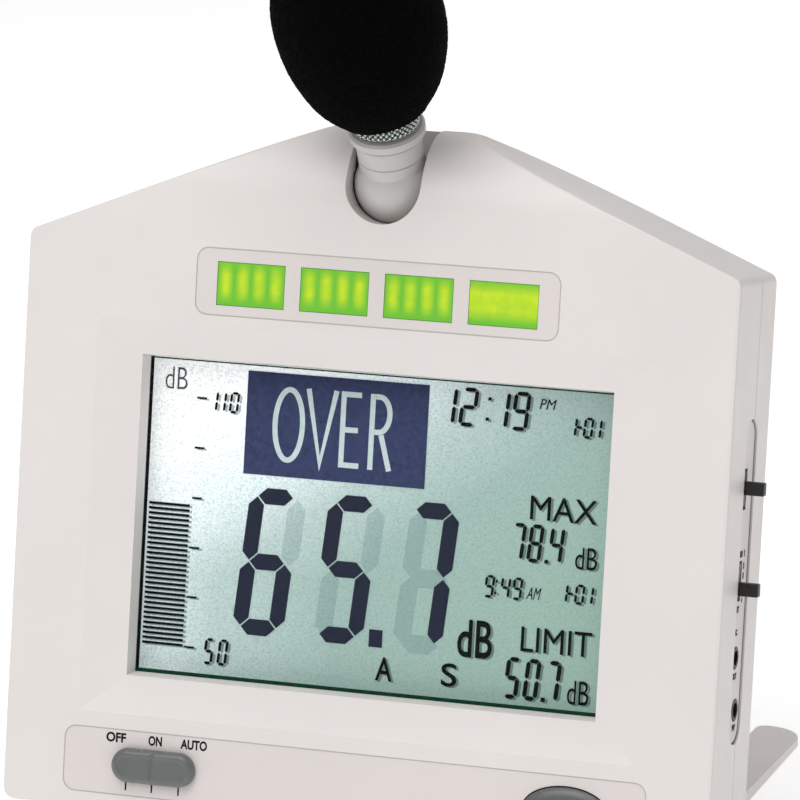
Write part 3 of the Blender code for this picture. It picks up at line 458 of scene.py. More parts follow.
def stroke(points, width, closed=False):
    """The outlines of a line of this width through the points, mitred where it turns."""
    path = [Vector(point) for point in points]
    count = len(path)
    offsets = []
    for index, point in enumerate(path):
        before = path[index - 1] if index or closed else None
        after = path[(index + 1) % count] if index < count - 1 or closed else None
        into = (point - before).normalized() if before is not None else None
        out = (after - point).normalized() if after is not None else None
        along = ((into or out) + (out or into)).normalized()
        side = Vector((-along.y, along.x))
        turn = max(SHARPEST_MITRE, along.dot(out or into))
        offsets.append(side * (width / 2 / turn))
    outlines = []
    for index in range(count if closed else count - 1):
        after = (index + 1) % count
        outlines.append(
            [
                path[index] - offsets[index],
                path[after] - offsets[after],
                path[after] + offsets[after],
                path[index] + offsets[index],
            ]
        )
    return [[tuple(corner) for corner in outline] for outline in outlines]


def oval(centre, half_width, half_height, steps, start=0.0, end=math.tau):
    """Points round an ellipse, or round its stretch from start to end, which leaves the end out."""
    angles = [start + (end - start) * step / steps for step in range(steps)]
    return [(centre[0] + half_width * math.cos(a), centre[1] + half_height * math.sin(a)) for a in angles]


def lettering(text, area, depths, slant=0.0, weight=0.0, shift=(0.0, 0.0)):
    """Solid letters that fill the area (left, right, bottom, top)."""
    curve = bpy.data.curves.new("letters", "FONT")
    curve.body = text
    curve.extrude = 0.5
    curve.offset = weight
    curve.resolution_u = 6
    holder = bpy.data.objects.new("letters", curve)
    bpy.context.scene.collection.objects.link(holder)
    graph = bpy.context.evaluated_depsgraph_get()
    mesh = bpy.data.meshes.new_from_object(holder.evaluated_get(graph))
    flat = np.array([vertex.co for vertex in mesh.vertices])
    faces = [list(polygon.vertices) for polygon in mesh.polygons]
    bpy.data.objects.remove(holder)
    bpy.data.meshes.remove(mesh)
    bpy.data.curves.remove(curve)
    left, right, bottom, top = area
    low, size = flat.min(axis=0), np.ptp(flat, axis=0)
    z = bottom + (flat[:, 1] - low[1]) / size[1] * (top - bottom)
    x = left + (flat[:, 0] - low[0]) / size[0] * (right - left - slant * (top - bottom))
    x += slant * (z - bottom)
    y = np.where(flat[:, 2] > 0, *depths)
    return np.stack([x + shift[0], y, z + shift[1]], axis=1).tolist(), faces


SLANT = 0.09  # how far every figure leans, across for each step up
SMALL_GAP = 0.1  # between the segments of a small figure
POINT_SIZE, COLON_SIZE, COLON_HEIGHTS = 0.5, 0.42, (0.2, 0.78)  # of the thickness, and of the height
# Seven-segment figures: which of the segments a to g are lit
SEGMENTS = {
    "0": "abcdef", "1": "bc", "2": "abged", "3": "abgcd", "4": "fgbc", "5": "afgcd",
    "6": "afgecd", "7": "abc", "8": "abcdefg", "9": "abfgcd", "-": "g",
}


def segment(kind, width, height, thickness, gap):
    """One segment as a six-sided outline about the figure's centre lines."""
    half = height / 2
    ends = {
        "a": ((0, height), (width, height)),
        "g": ((0, half), (width, half)),
        "d": ((0, 0), (width, 0)),
        "f": ((0, half), (0, height)),
        "b": ((width, half), (width, height)),
        "e": ((0, 0), (0, half)),
        "c": ((width, 0), (width, half)),
    }
    start, end = (Vector(point) for point in ends[kind])
    along = (end - start).normalized()
    side = Vector((-along.y, along.x)) * thickness / 2
    start, end = start + along * gap, end - along * gap
    inset = along * thickness / 2
    lower = [start, start + inset - side, end - inset - side]
    upper = [end, end - inset + side, start + inset + side]
    return [tuple(corner) for corner in lower + upper]


def figure(text, left, bottom, width, height, thickness, gap, slant):
    """A figure on its centre lines, leaning by the slant. A point or colon is one or two squares."""
    if text in ".:":
        half = thickness * (POINT_SIZE if text == "." else COLON_SIZE)
        heights = (0.0,) if text == "." else [height * share for share in COLON_HEIGHTS]
        outlines = [bar(-half, half, z - half, z + half) for z in heights]
    else:
        outlines = [segment(kind, width, height, thickness, gap) for kind in SEGMENTS[text]]
    return [[(left + x + slant * z, bottom + z) for x, z in outline] for outline in outlines]


def figures(cells, bottom, top, width, thickness):
    """Small figures in a row: each cell is a figure and its left edge."""
    edge = thickness / 2
    shape = (bottom + edge, width - thickness, top - bottom - thickness, thickness, SMALL_GAP, SLANT)
    outlines = []
    for text, left in cells:
        outlines += figure(text, left + edge, *shape)
    return outlines


def lathe(rings, start, end):
    """A closed solid through rings of points, with a point at each end."""
    count, around = rings.shape[:2]
    points = rings.reshape(-1, 3).tolist()
    faces = []
    for ring in range(count - 1):
        for step in range(around):
            after = (step + 1) % around
            low, high = ring * around, (ring + 1) * around
            faces.append([low + step, high + step, high + after, low + after])
    for point, ring, flip in ((start, 0, False), (end, count - 1, True)):
        points.append(point)
        hub = len(points) - 1
        for step in range(around):
            pair = [ring * around + step, ring * around + (step + 1) % around]
            faces.append([hub, *(reversed(pair) if flip else pair)])
    return points, faces


def dense(profile, step):
    """The profile's points with more between them, none further apart than the step."""
    made = [np.array(profile[0], float)]
    for point in profile[1:]:
        end = np.array(point, float)
        count = max(1, math.ceil(np.linalg.norm(end - made[-1]) / step))
        start = made[-1]
        made += [start + (end - start) * (index + 1) / count for index in range(count)]
    return np.array(made)


def ring_points(profile, around):
    """Rings of points about the Z axis from a profile of (radius, height)."""
    angles = np.arange(around) * math.tau / around
    radius, height = profile[:, :1], profile[:, 1:]
    level = height + 0 * angles
    return np.stack([radius * np.cos(angles), radius * np.sin(angles), level], axis=2)


# The foam windscreen and the microphone's barrel ---------------------------------------------------

FOAM_RADIUS, FOAM_MIDDLE, FOAM_UPPER, FOAM_LOWER = 20.3, 47.5, 25.9, 30.4
FOAM_MOUTH, FOAM_MOUTH_RADIUS = 21.3, 10.5
KNURL_BORE, BARREL_BORE, BORE_STEP, BORE_END = 8.35, 6.7, 24.3, 61.4
FOAM_CROOK = math.radians(5.6)
FOAM_AROUND = 288
UPPER_ANGLES, LOWER_ANGLES = np.linspace(88.5, 0, 84), np.linspace(-1, -56, 66)  # degrees
SWELL_SIZE, SWELL_HEIGHT = 11.0, 0.3
PIT_SIZE, PIT_DEPTH = 0.75, 0.42
FLUFF_SIZE, FLUFF_HEIGHT = 0.42, 0.1


def foam():
    """A crowned egg of foam with an uneven, pitted outside and a bore that follows the barrel."""
    upper = [
        (FOAM_RADIUS * math.cos(a), FOAM_MIDDLE + FOAM_UPPER * math.sin(a))
        for a in np.radians(UPPER_ANGLES)
    ]
    lower = [
        (FOAM_RADIUS * math.cos(a), FOAM_MIDDLE + FOAM_LOWER * math.sin(a))
        for a in np.radians(LOWER_ANGLES)
    ]
    lip = [(FOAM_MOUTH_RADIUS + 0.3, FOAM_MOUTH + 0.2), (FOAM_MOUTH_RADIUS - 0.6, FOAM_MOUTH)]
    lip += [(KNURL_BORE + 0.25, FOAM_MOUTH + 0.1)]
    outside = np.array(upper + lower + lip)
    bore = [(KNURL_BORE, FOAM_MOUTH + 0.7), (KNURL_BORE, BORE_STEP)]
    bore = dense(bore + [(BARREL_BORE, BORE_STEP), (BARREL_BORE, BORE_END)], 1.5)
    skin = ring_points(outside, FOAM_AROUND)
    slopes = np.gradient(outside, axis=0)
    facing = np.stack([slopes[:, 1], -slopes[:, 0]], axis=1)
    facing *= -1 / np.linalg.norm(facing, axis=1, keepdims=True)
    normals = ring_points(facing, FOAM_AROUND)
    calm = np.ones(len(outside))
    calm[-3:] = (0.6, 0.3, 0.0)
    for ring, (points, directions) in enumerate(zip(skin, normals)):
        for point, direction in zip(points, directions):
            place = Vector(point)
            swell = noise.noise(place / SWELL_SIZE) * SWELL_HEIGHT
            pits = -abs(noise.noise(place / PIT_SIZE)) * PIT_DEPTH
            fluff = noise.noise(place / FLUFF_SIZE) * FLUFF_HEIGHT
            point += direction * (swell + pits + fluff) * calm[ring]
    turn = np.array(Matrix.Rotation(-FOAM_CROOK, 3, "Y"))
    hinge = np.array((0, 0, FOAM_MOUTH))
    skin = (skin - hinge) @ turn.T + hinge
    crown = turn @ np.array((0, 0, FOAM_MIDDLE + FOAM_UPPER - FOAM_MOUTH)) + hinge
    rings = np.concatenate([skin, ring_points(bore, FOAM_AROUND)])
    solid = lathe(rings, tuple(crown), (0, 0, BORE_END + 0.1))
    made = piece(
        "foam_windscreen", [solid], MICROPHONE, "foam", "windscreen", 180, ["windscreen"]
    )


KNURL_RADIUS, KNURL_BOTTOM, KNURL_TOP = 8.0, 17.3, 24.0
BARREL_RADIUS, BARREL_TOP = 6.35, 58.0
STEM_RADIUS, STEM_BOTTOM = 5.0, 8.4
KNURL_LAND = 0.45  # the smooth band at each end of the knurl
KNURL_STARTS = 36
KNURL_DEPTH, GROOVE_FLARE = 0.42, 1.5
KNURL_STEP = 0.11  # between its rings of points
GROOVE_SHADE_FROM = 0.25  # how far under the tips the painted shade in the grooves begins
BARREL_AROUND = KNURL_STARTS * 12


def barrel():
    """The metal barrel, whose foot is a ring of raised diamonds between two crossing sets of grooves,
    with painted shade in the grooves.
    """
    profile = [(BARREL_RADIUS, BARREL_TOP), (BARREL_RADIUS, KNURL_TOP + 1.0), (BARREL_RADIUS, KNURL_TOP)]
    profile += [(KNURL_RADIUS - 0.5, KNURL_TOP), (KNURL_RADIUS, KNURL_TOP - 0.4)]
    knurl = dense([(KNURL_RADIUS, KNURL_TOP - 0.5), (KNURL_RADIUS, KNURL_BOTTOM + 0.5)], KNURL_STEP)
    foot = [(KNURL_RADIUS, KNURL_BOTTOM + 0.4), (KNURL_RADIUS - 0.4, KNURL_BOTTOM)]
    foot += [(STEM_RADIUS, KNURL_BOTTOM), (STEM_RADIUS, STEM_BOTTOM)]
    whole = np.concatenate([np.array(profile), knurl, np.array(foot)])
    rings = ring_points(whole, BARREL_AROUND)
    angles = np.arange(BARREL_AROUND) / BARREL_AROUND * KNURL_STARTS
    heights = whole[:, 1:] / (math.tau * KNURL_RADIUS / KNURL_STARTS)
    ridges = [np.abs((angles + sign * heights) % 1 - 0.5) * 2 for sign in (-1, 1)]
    depth = KNURL_DEPTH * (1 - np.minimum(1, GROOVE_FLARE * (1 - np.maximum(*ridges))))
    inside = (whole[:, 1] < KNURL_TOP - KNURL_LAND) & (whole[:, 1] > KNURL_BOTTOM + KNURL_LAND)
    shrink = np.where(inside[:, None], depth, 0) / np.maximum(whole[:, :1], 1)
    rings[:, :, :2] *= (1 - shrink)[:, :, None]
    solid = lathe(rings, (0, 0, BARREL_TOP), (0, 0, STEM_BOTTOM))
    made = piece(
        "knurled_barrel", [solid], MICROPHONE, "knurled_metal", "microphone", 24,
        ["mic_barrel"],
    )
    # The knurl's grooves take a near-black metal: painted shade
    mesh = made.data
    mesh.materials.append(MATERIALS["knurl_groove"])
    back = MICROPHONE.inverted()
    for face in mesh.polygons:
        x, y, z = back @ face.center
        grooved = KNURL_BOTTOM + KNURL_LAND < z < KNURL_TOP - KNURL_LAND
        if grooved and math.hypot(x, y) < KNURL_RADIUS - GROOVE_SHADE_FROM:
            face.material_index = 1


# Front controls ------------------------------------------------------------------------------------

CAP_CENTRE, CAP_HALF, CAP_DEPTHS = (-49.8, 11.4), (10.62, 4.18), (-2.6, -0.25)
CAP_EDGE, CAP_ROUNDING = 1.5, 1.6  # how wide the rounded rim is, and how far it falls
CAP_DISH, CAP_DISH_INSET, CAP_DISH_BLEND = 0.14, 0.25, 0.09
CAP_GROOVE, CAP_GROOVE_WIDTH = 0.36, 0.42
STEM_HALF, STEM_DEEP = (2.0, 1.6), 4.1
BUTTON_CENTRE, BUTTON_HALF, BUTTON_PROUD = (53.8, 11.2), (10.45, 5.75), 1.5
BUTTON_FLANGE, BUTTON_STEM = 3.0, 4.2  # depths of the flange's back and the stem's end
# The button's marks, from its centre
SUN_SHIFT, SUN_RADIUS, SUN_RAYS, RAY_REACH = (-2.6, 0.2), 1.05, 8, (1.5, 2.1)
PAGE_SIDES, PAGE_ENDS, PAGE_TEXT, PAGE_MARGIN = (1.2, 4.2), (-1.4, 1.7), (0.9, -0.1), 0.7
SUN_LINE, PAGE_LINE, ICON_LINE = 0.32, 0.34, 0.3


def switch_cap():
    """The long sliding cap: rounded rim, a dished face and a finger groove across its middle."""
    half_width, half_height = CAP_HALF
    front, back = CAP_DEPTHS
    straight = half_width - half_height
    columns, rows = 132, 44
    points = []
    for v in np.sin(np.linspace(-1, 1, rows + 1) * math.pi / 2):
        z = v * half_height
        reach = straight + math.sqrt(max(0.0, half_height**2 - z**2))
        for u in np.linspace(-1, 1, columns + 1):
            x = u * reach
            inner = math.hypot(max(0.0, abs(x) - straight), z)
            inset = half_height - inner
            rim = min(1.0, max(0.0, inset / CAP_EDGE))
            drop = (1 - math.sqrt(1 - (1 - rim) ** 2)) * CAP_ROUNDING
            dish = CAP_DISH / (1 + math.exp(-(inset - CAP_EDGE - CAP_DISH_INSET) / CAP_DISH_BLEND))
            groove = CAP_GROOVE * math.exp(-((x / CAP_GROOVE_WIDTH) ** 2)) * rim
            points.append((CAP_CENTRE[0] + x, front + drop + dish + groove, CAP_CENTRE[1] + z))
    faces = []
    width = columns + 1
    for row in range(rows):
        for column in range(columns):
            low = row * width + column
            faces.append([low, low + 1, low + width + 1, low + width])
    edge = list(range(width))
    edge += [row * width + columns for row in range(1, rows + 1)]
    edge += [rows * width + column for column in range(columns - 1, -1, -1)]
    edge += [row * width for row in range(rows - 1, 0, -1)]
    start = len(points)
    points += [(points[index][0], back, points[index][2]) for index in edge]
    count = len(edge)
    for index in range(count):
        after = (index + 1) % count
        faces.append([edge[after], edge[index], start + index, start + after])
    faces.append(list(range(start + count - 1, start - 1, -1)))
    middle_x, middle_z = CAP_CENTRE
    half_x, half_z = STEM_HALF
    stem = bar(middle_x - half_x, middle_x + half_x, middle_z - half_z, middle_z + half_z)
    stem = plate(stem, (back, STEM_DEEP))
    piece(
        "switch_cap", [(points, faces), stem], CASING, "grey_plastic", "function_switch",
        50, ["function_switch_cap"],
    )


def button():
    """The oval button, a low dome with a fine rim, and its two white marks: a sun and a page."""
    half_width, half_height = BUTTON_HALF
    steps = 96
    levels = [(s, -BUTTON_PROUD * (1 - s**5) ** 0.6) for s in np.linspace(0.02, 0.995, 40)]
    levels += [(1.0, 0.1), (1.0, BUTTON_FLANGE), (0.3, BUTTON_FLANGE), (0.3, BUTTON_STEM)]
    rings = []
    for share, depth in levels:
        ring = oval(BUTTON_CENTRE, half_width * share, half_height * share, steps)
        rings.append([(x, depth, z) for x, z in ring])
    x, z = BUTTON_CENTRE
    solid = lathe(np.array(rings)[:, ::-1], (x, -BUTTON_PROUD, z), (x, BUTTON_STEM, z))
    piece(
        "light_button_dome", [solid], CASING, "dark_grey_plastic", "light_button",
        40, ["light_button"],
    )
    sun = Vector((x + SUN_SHIFT[0], z + SUN_SHIFT[1]))
    marks = stroke(oval(sun, SUN_RADIUS, SUN_RADIUS, 24), SUN_LINE, closed=True)
    for angle in np.arange(SUN_RAYS) * math.tau / SUN_RAYS:
        across = Vector((math.cos(angle), math.sin(angle)))
        marks += stroke([sun + across * reach for reach in RAY_REACH], ICON_LINE)
    (left, right), (low, high) = (x + side for side in PAGE_SIDES), (z + end for end in PAGE_ENDS)
    marks += stroke([(left, low), (left, high), (right, high), (right, low)], PAGE_LINE, closed=True)
    for line in (z + height for height in PAGE_TEXT):
        marks += stroke([(left + PAGE_MARGIN, line), (right - PAGE_MARGIN, line)], ICON_LINE)
    piece("light_button_marks", plates(marks, ICON_DEPTHS), CASING, "white_print", "light_button")


# Display -------------------------------------------------------------------------------------------

BIG_BOTTOM, BIG_HEIGHT, BIG_WIDTH, BIG_THICKNESS, BIG_GAP = 46.0, 31.9, 9.3, 3.9, 0.26
BIG_POINT = (-1.2, 2.2, 44.0, 48.2)
GHOST_EXTRA, GHOST_SHIFT = 0.6, (1.0, -0.4)  # the unlit segments are wider and a little aside
BIG_FIGURES = (("6", -29.6), ("5", -9.4), ("7", 10.6))
SMALL_FIGURES = (
    # cells with their left edges, bottom, top, width of a figure, thickness
    ((("1", 13.0), ("2", 18.2), (":", 24.8), ("1", 26.2), ("9", 31.2)), 98.7, 108.0, 4.2, 0.95),
    ((("1", 45.2), ("-", 46.9), ("0", 49.2), ("1", 51.3)), 98.2, 103.2, 2.4, 0.62),
    ((("7", 32.6), ("8", 37.0), (".", 41.6), ("4", 42.2)), 67.8, 76.9, 3.5, 0.9),
    ((("9", 26.9), (":", 29.5), ("4", 30.9), ("9", 33.9)), 58.5, 63.9, 2.4, 0.62),
    ((("1", 45.3), ("-", 47.0), ("0", 49.4), ("1", 51.6)), 58.8, 63.6, 2.4, 0.62),
    ((("5", 33.0), ("0", 37.9), (".", 42.6), ("7", 43.0)), 34.9, 44.9, 3.7, 1.05),
    ((("1", -45.4), ("1", -43.3), ("0", -40.0)), 97.1, 102.3, 2.4, 0.62),
    ((("5", -43.4), ("0", -39.8)), 35.9, 42.3, 2.5, 0.7),
)
SMALL_WORDS = (
    ("MAX", (37.4, 53.9, 78.0, 83.7), 0.0, 0.0),
    ("LIMIT", (36.9, 54.5, 46.5, 52.4), 0.0, 0.0),
    ("dB", (21.1, 29.8, 43.8, 52.8), 0.0, 0.012),
    ("dB", (49.2, 54.6, 67.2, 72.4), 0.0, 0.0),
    ("dB", (49.1, 54.4, 35.0, 40.7), 0.0, 0.0),
    ("S", (17.5, 21.4, 36.3, 41.9), 0.0, 0.01),
    ("A", (0.9, 5.1, 36.1, 41.8), 0.0, 0.01),
)
TINY_WORDS = (
    ("PM", (38.3, 42.4, 104.3, 106.7), 0.2, 0.0),
    ("AM", (37.6, 41.3, 59.0, 61.9), 0.2, 0.0),
)
SCALE_MARKS = (100.2, 88.1, 75.9, 63.8, 51.8, 39.6)
SCALE_MARK_ENDS, SCALE_MARK_HALF = (-48.2, -45.7), 0.24
SCALE_UNIT = (-56.6, -50.9, 101.9, 107.2)
BAR_COUNT, BAR_THICKNESS = 29, 0.62
BAR_LEFT, BAR_RIGHT, BAR_BOTTOM, BAR_TOP = -59.2, -48.7, 39.9, 73.9
OVER_BOX = (-35.4, 10.7, 82.9, 107.8)
OVER_LETTERS, OVER_STROKE = (87.0, 104.0), 1.3  # the letters' foot and head, and their stroke
OVER_REACH = 0.6  # how much further a slanting or upright stroke goes
O_MIDDLE, O_HALF_WIDTH = -24.4, 3.5
V_LEFT, V_FOOT, V_RIGHT = -19.7, -16.1, -12.6
E_LEFT, E_TONGUE, E_RIGHT = -10.7, (-10.2, -6.8), -6.2
R_STEM, R_JOIN, R_BOWL, R_BOWL_WIDTH, R_LEG = -3.3, -2.6, -1.6, 2.7, (-0.9, 1.5)


def over_letters():
    """The word in the warning box, in light narrow strokes."""
    (low, high), width = OVER_LETTERS, OVER_STROKE
    middle = (low + high) / 2
    under, over = low - OVER_REACH, high + OVER_REACH
    made = stroke(oval((O_MIDDLE, middle), O_HALF_WIDTH, (high - low) / 2, 48), width, closed=True)
    made += stroke([(V_LEFT, over), (V_FOOT, low - 0.2), (V_RIGHT, over)], width)
    made += stroke([(E_RIGHT, high), (E_LEFT, high), (E_LEFT, low), (E_RIGHT, low)], width)
    made += stroke([(end, middle) for end in E_TONGUE], width)
    centre, half = (R_BOWL, (middle + high) / 2), (high - middle) / 2
    bowl = oval(centre, R_BOWL_WIDTH, half, 16, -math.pi / 2, math.pi / 2)
    made += stroke([(R_STEM, under), (R_STEM, over)], width)
    made += stroke([(R_JOIN, middle), *bowl, (R_BOWL, high), (R_JOIN, high)], width)
    made += stroke([(R_LEG[0], middle - OVER_REACH), (R_LEG[1], under)], width)
    return made


def display_pieces():
    """The ink of the display: big figures and their unlit segments, small text with its painted shadow,
    scale and warning.
    """
    lit, unlit = [], []
    for text, middle in BIG_FIGURES:
        shape = (BIG_WIDTH, BIG_HEIGHT, BIG_THICKNESS, BIG_GAP, SLANT)
        lit += figure(text, middle - BIG_WIDTH / 2, BIG_BOTTOM, *shape)
        for kind in sorted(set("abcdefg") - set(SEGMENTS[text])):
            outline = segment(kind, BIG_WIDTH, BIG_HEIGHT, BIG_THICKNESS + GHOST_EXTRA, 0.0)
            left = middle - BIG_WIDTH / 2 + GHOST_SHIFT[0]
            bottom = BIG_BOTTOM + GHOST_SHIFT[1]
            unlit.append([(left + x + SLANT * z, bottom + z) for x, z in outline])
    lit.append(bar(*BIG_POINT))
    piece("display_figures", plates(lit, INK_DEPTHS), CASING, "big_ink", "case")
    piece("display_unlit_segments", plates(unlit, GHOST_DEPTHS), CASING, "ghost_ink", "case")

    small = []
    for cells, bottom, top, width, thickness in SMALL_FIGURES:
        small += figures(cells, bottom, top, width, thickness)
    for height in SCALE_MARKS:
        small.append(bar(*SCALE_MARK_ENDS, height - SCALE_MARK_HALF, height + SCALE_MARK_HALF))
    pitch = (BAR_TOP - BAR_BOTTOM) / (BAR_COUNT - 1)
    for number in range(BAR_COUNT):
        bottom = BAR_BOTTOM + pitch * number - BAR_THICKNESS / 2
        small.append(bar(BAR_LEFT, BAR_RIGHT, bottom, bottom + BAR_THICKNESS))
    words = [
        lettering(text, area, INK_DEPTHS, slant, weight)
        for text, area, slant, weight in SMALL_WORDS + TINY_WORDS
    ]
    cast = [
        lettering(text, area, SHADOW_DEPTHS, slant, weight, SHADOW_SHIFT)
        for text, area, slant, weight in SMALL_WORDS
    ]
    inked = plates(small, INK_DEPTHS) + words
    piece("display_small_figures", inked, CASING, "small_ink", "case")
    shadows = plates(small, SHADOW_DEPTHS, SHADOW_SHIFT) + cast
    piece("display_small_shadow", shadows, CASING, "shadow_ink", "case")
    unit = lettering("dB", SCALE_UNIT, INK_DEPTHS, 0.0, -0.01)
    piece("display_scale_unit", [unit], CASING, "grey_ink", "case")

    box = plates([bar(*OVER_BOX)], INK_DEPTHS)
    piece("display_warning_box", box, CASING, "panel_ink", "case")
    letters = plates(over_letters(), OVER_DEPTHS)
    piece("display_warning_word", letters, CASING, "panel_letters", "case")


def display_edge_painted_shade():
    """A black strip at the panel's edge, on the side where the eye reaches behind the well's wall:
    painted shade of the hollow there.
    """
    left, right, bottom, top = EDGE_SHADE_AREA
    edges = [
        bar(left - EDGE_SHADE_SIDE, left, bottom, top),
        bar(left - EDGE_SHADE_SIDE, right + EDGE_SHADE_SIDE, bottom - EDGE_SHADE_FOOT, bottom),
    ]
    piece("display_edge_painted_shade", plates(edges, EDGE_SHADE_DEPTHS), CASING, "black_plastic", "case")


def rounded_box(area, radius):
    """The outline of a box with round corners of eight points each."""
    left, right, bottom, top = area
    corners = (
        (left + radius, bottom + radius, 180), (right - radius, bottom + radius, 270),
        (right - radius, top - radius, 0), (left + radius, top - radius, 90),
    )
    outline = []
    for x, z, start in corners:
        for angle in np.radians(np.linspace(start, start + 90, 8)):
            outline.append((x + radius * math.cos(angle), z + radius * math.sin(angle)))
    return outline


def label_gap_painted_shade():
    """Grey strips of painted shade that half fill the narrow gaps round the two front labels."""
    lines = []
    for area in LABELS:
        lines += stroke(rounded_box(area, LABEL_CORNER), GAP_SHADE_WIDTH, closed=True)
    piece("label_gap_painted_shade", plates(lines, GAP_SHADE_DEPTHS), CASING, "gap_painted_shade_grey", "case")


def pane_edges():
    """The green cut edge of the pane, where it shows round the well."""
    left, right, bottom, top = PANE_EDGE_AREA
    lines = [
        bar(left, right, top - PANE_EDGE_TOP, top),
        bar(right - PANE_EDGE_SIDE, right, bottom, top),
        bar(left, right, bottom, bottom + PANE_EDGE_FOOT),
    ]
    piece("pane_edge_lines", plates(lines, PANE_EDGE_DEPTHS), CASING, "pane_edge", "case")


# Printing ------------------------------------------------------------------------------------------

SWITCH_WORDS = (("OFF", (-62.6, -57.5)), ("ON", (-51.7, -48.2)), ("AUTO", (-43.4, -36.6)))
SWITCH_WORD_HEIGHTS, SWITCH_WORD_WEIGHT = (16.5, 18.9), 0.035
SWITCH_TICKS = (-57.0, -50.3, -43.4)
TICK_HALF, TICK_HEIGHTS = 0.2, (5.1, 7.0)
SIDE_WEIGHT = 0.075
SIDE_WORDS = (
    # text, its middle in depth and height, half width and half height
    ("RES", (15.6, 73.8), (1.5, 0.8)),
    ("1", (18.6, 73.8), (0.35, 0.85)),
    ("2", (18.6, 70.9), (0.5, 0.8)),
    ("3", (18.6, 68.5), (0.5, 0.8)),
    ("4", (18.6, 62.8), (0.5, 0.7)),
    ("SET", (15.3, 60.7), (1.4, 0.8)),
    ("AC", (15.3, 55.3), (1.2, 0.8)),
    ("OUT", (15.9, 44.8), (1.9, 0.8)),
    ("9V", (18.0, 32.4), (1.5, 0.9)),
)
SIDE_SLOTS = ((84.6, 93.6), (63.0, 71.8))  # bottom and top of the painted shade round each switch slot
SLOT_MIDDLE, SLOT_HALF, SLOT_PAINTED_SHADE = 14.7, 1.85, 0.7
SIDE_RECESS = (13.25, 21.75, 28.75, 105.25)
RECESS_PAINTED_SHADE = 0.3


def front_printing():
    """The words over the slide switch and the ticks under it."""
    words = [
        lettering(text, ends + SWITCH_WORD_HEIGHTS, PRINT_DEPTHS, 0.0, SWITCH_WORD_WEIGHT)
        for text, ends in SWITCH_WORDS
    ]
    ticks = [bar(x - TICK_HALF, x + TICK_HALF, *TICK_HEIGHTS) for x in SWITCH_TICKS]
    legend = words + plates(ticks, PRINT_DEPTHS)
    piece("switch_legend", legend, CASING, "dark_print_and_painted_shade", "case")


def on_side(solid):
    """A unit-deep solid of the front's plane, turned to lie as a thin layer on the side panel."""
    near, far = SIDE_LAYER_DEPTHS
    points, faces = solid
    return [(far if y < 0.5 else near, x, z) for x, y, z in points], faces


def side_print_and_painted_shade():
    """Legends printed on the side panel, and painted shade: dark rims round its slots and a dark line
    round its recess.
    """
    flat = (0.0, 1.0)
    solids = []
    for text, (depth, height), (half_width, half_height) in SIDE_WORDS:
        area = (depth - half_width, depth + half_width, height - half_height, height + half_height)
        solids.append(lettering(text, area, flat, 0.0, SIDE_WEIGHT))
    outlines = []
    # Painted shade: dark rims round the switch slots and a dark line round the recess
    for bottom, top in SIDE_SLOTS:
        rim = bar(SLOT_MIDDLE - SLOT_HALF, SLOT_MIDDLE + SLOT_HALF, bottom, top)
        outlines += stroke(rim, SLOT_PAINTED_SHADE, closed=True)
    front, back, bottom, top = SIDE_RECESS
    half = (back - front) / 2
    middle = (front + back) / 2
    pill = oval((middle, top - half), half, half, 28, 0.0, math.pi)
    pill += oval((middle, bottom + half), half, half, 28, math.pi, math.tau)
    outlines += stroke(pill, RECESS_PAINTED_SHADE, closed=True)
    solids = [on_side(solid) for solid in solids + plates(outlines, flat)]
    piece("side_marks_and_painted_shade", solids, CASING, "dark_print_and_painted_shade", "case")


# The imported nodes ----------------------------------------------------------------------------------

CREASE_ANGLE = math.radians(30)
FACET_ANGLE = math.radians(10)  # between two broad faces this is a crease already
BROAD_AREA = 60 * MM**2
SAME_PLANE = math.cos(math.radians(0.6))
WELD_DISTANCE = 2e-6


def creased_edges(mesh):
    """Which of the mesh's edges are creases, judged with the doubled vertices of its faces as one."""
    co = np.array([vertex.co for vertex in mesh.vertices])
    _, merged = np.unique(np.round(co / WELD_DISTANCE / 4), axis=0, return_inverse=True)
    merged = merged.reshape(-1)
    neighbours = {}
    for face in mesh.polygons:
        corners = list(face.vertices)
        for first, second in zip(corners, corners[1:] + corners[:1]):
            key = tuple(sorted((merged[first], merged[second])))
            neighbours.setdefault(key, []).append(face.index)
    normals = np.array([face.normal for face in mesh.polygons])
    leader = list(range(len(normals)))

    def lead(index):
        while leader[index] != index:
            leader[index] = leader[leader[index]]
            index = leader[index]
        return index

    pairs = {key: faces for key, faces in neighbours.items() if len(faces) == 2}
    for first, second in pairs.values():
        if normals[first] @ normals[second] > SAME_PLANE:
            leader[lead(first)] = lead(second)
    area = np.zeros(len(normals))
    for face in mesh.polygons:
        area[lead(face.index)] += face.area
    creases = set()
    for key, (first, second) in pairs.items():
        cosine = normals[first] @ normals[second]
        broad = min(area[lead(first)], area[lead(second)]) > BROAD_AREA
        if cosine < math.cos(FACET_ANGLE if broad else CREASE_ANGLE):
            creases.add(key)
    ends = [tuple(sorted(merged[index] for index in edge.vertices)) for edge in mesh.edges]
    return [pair in creases for pair in ends]


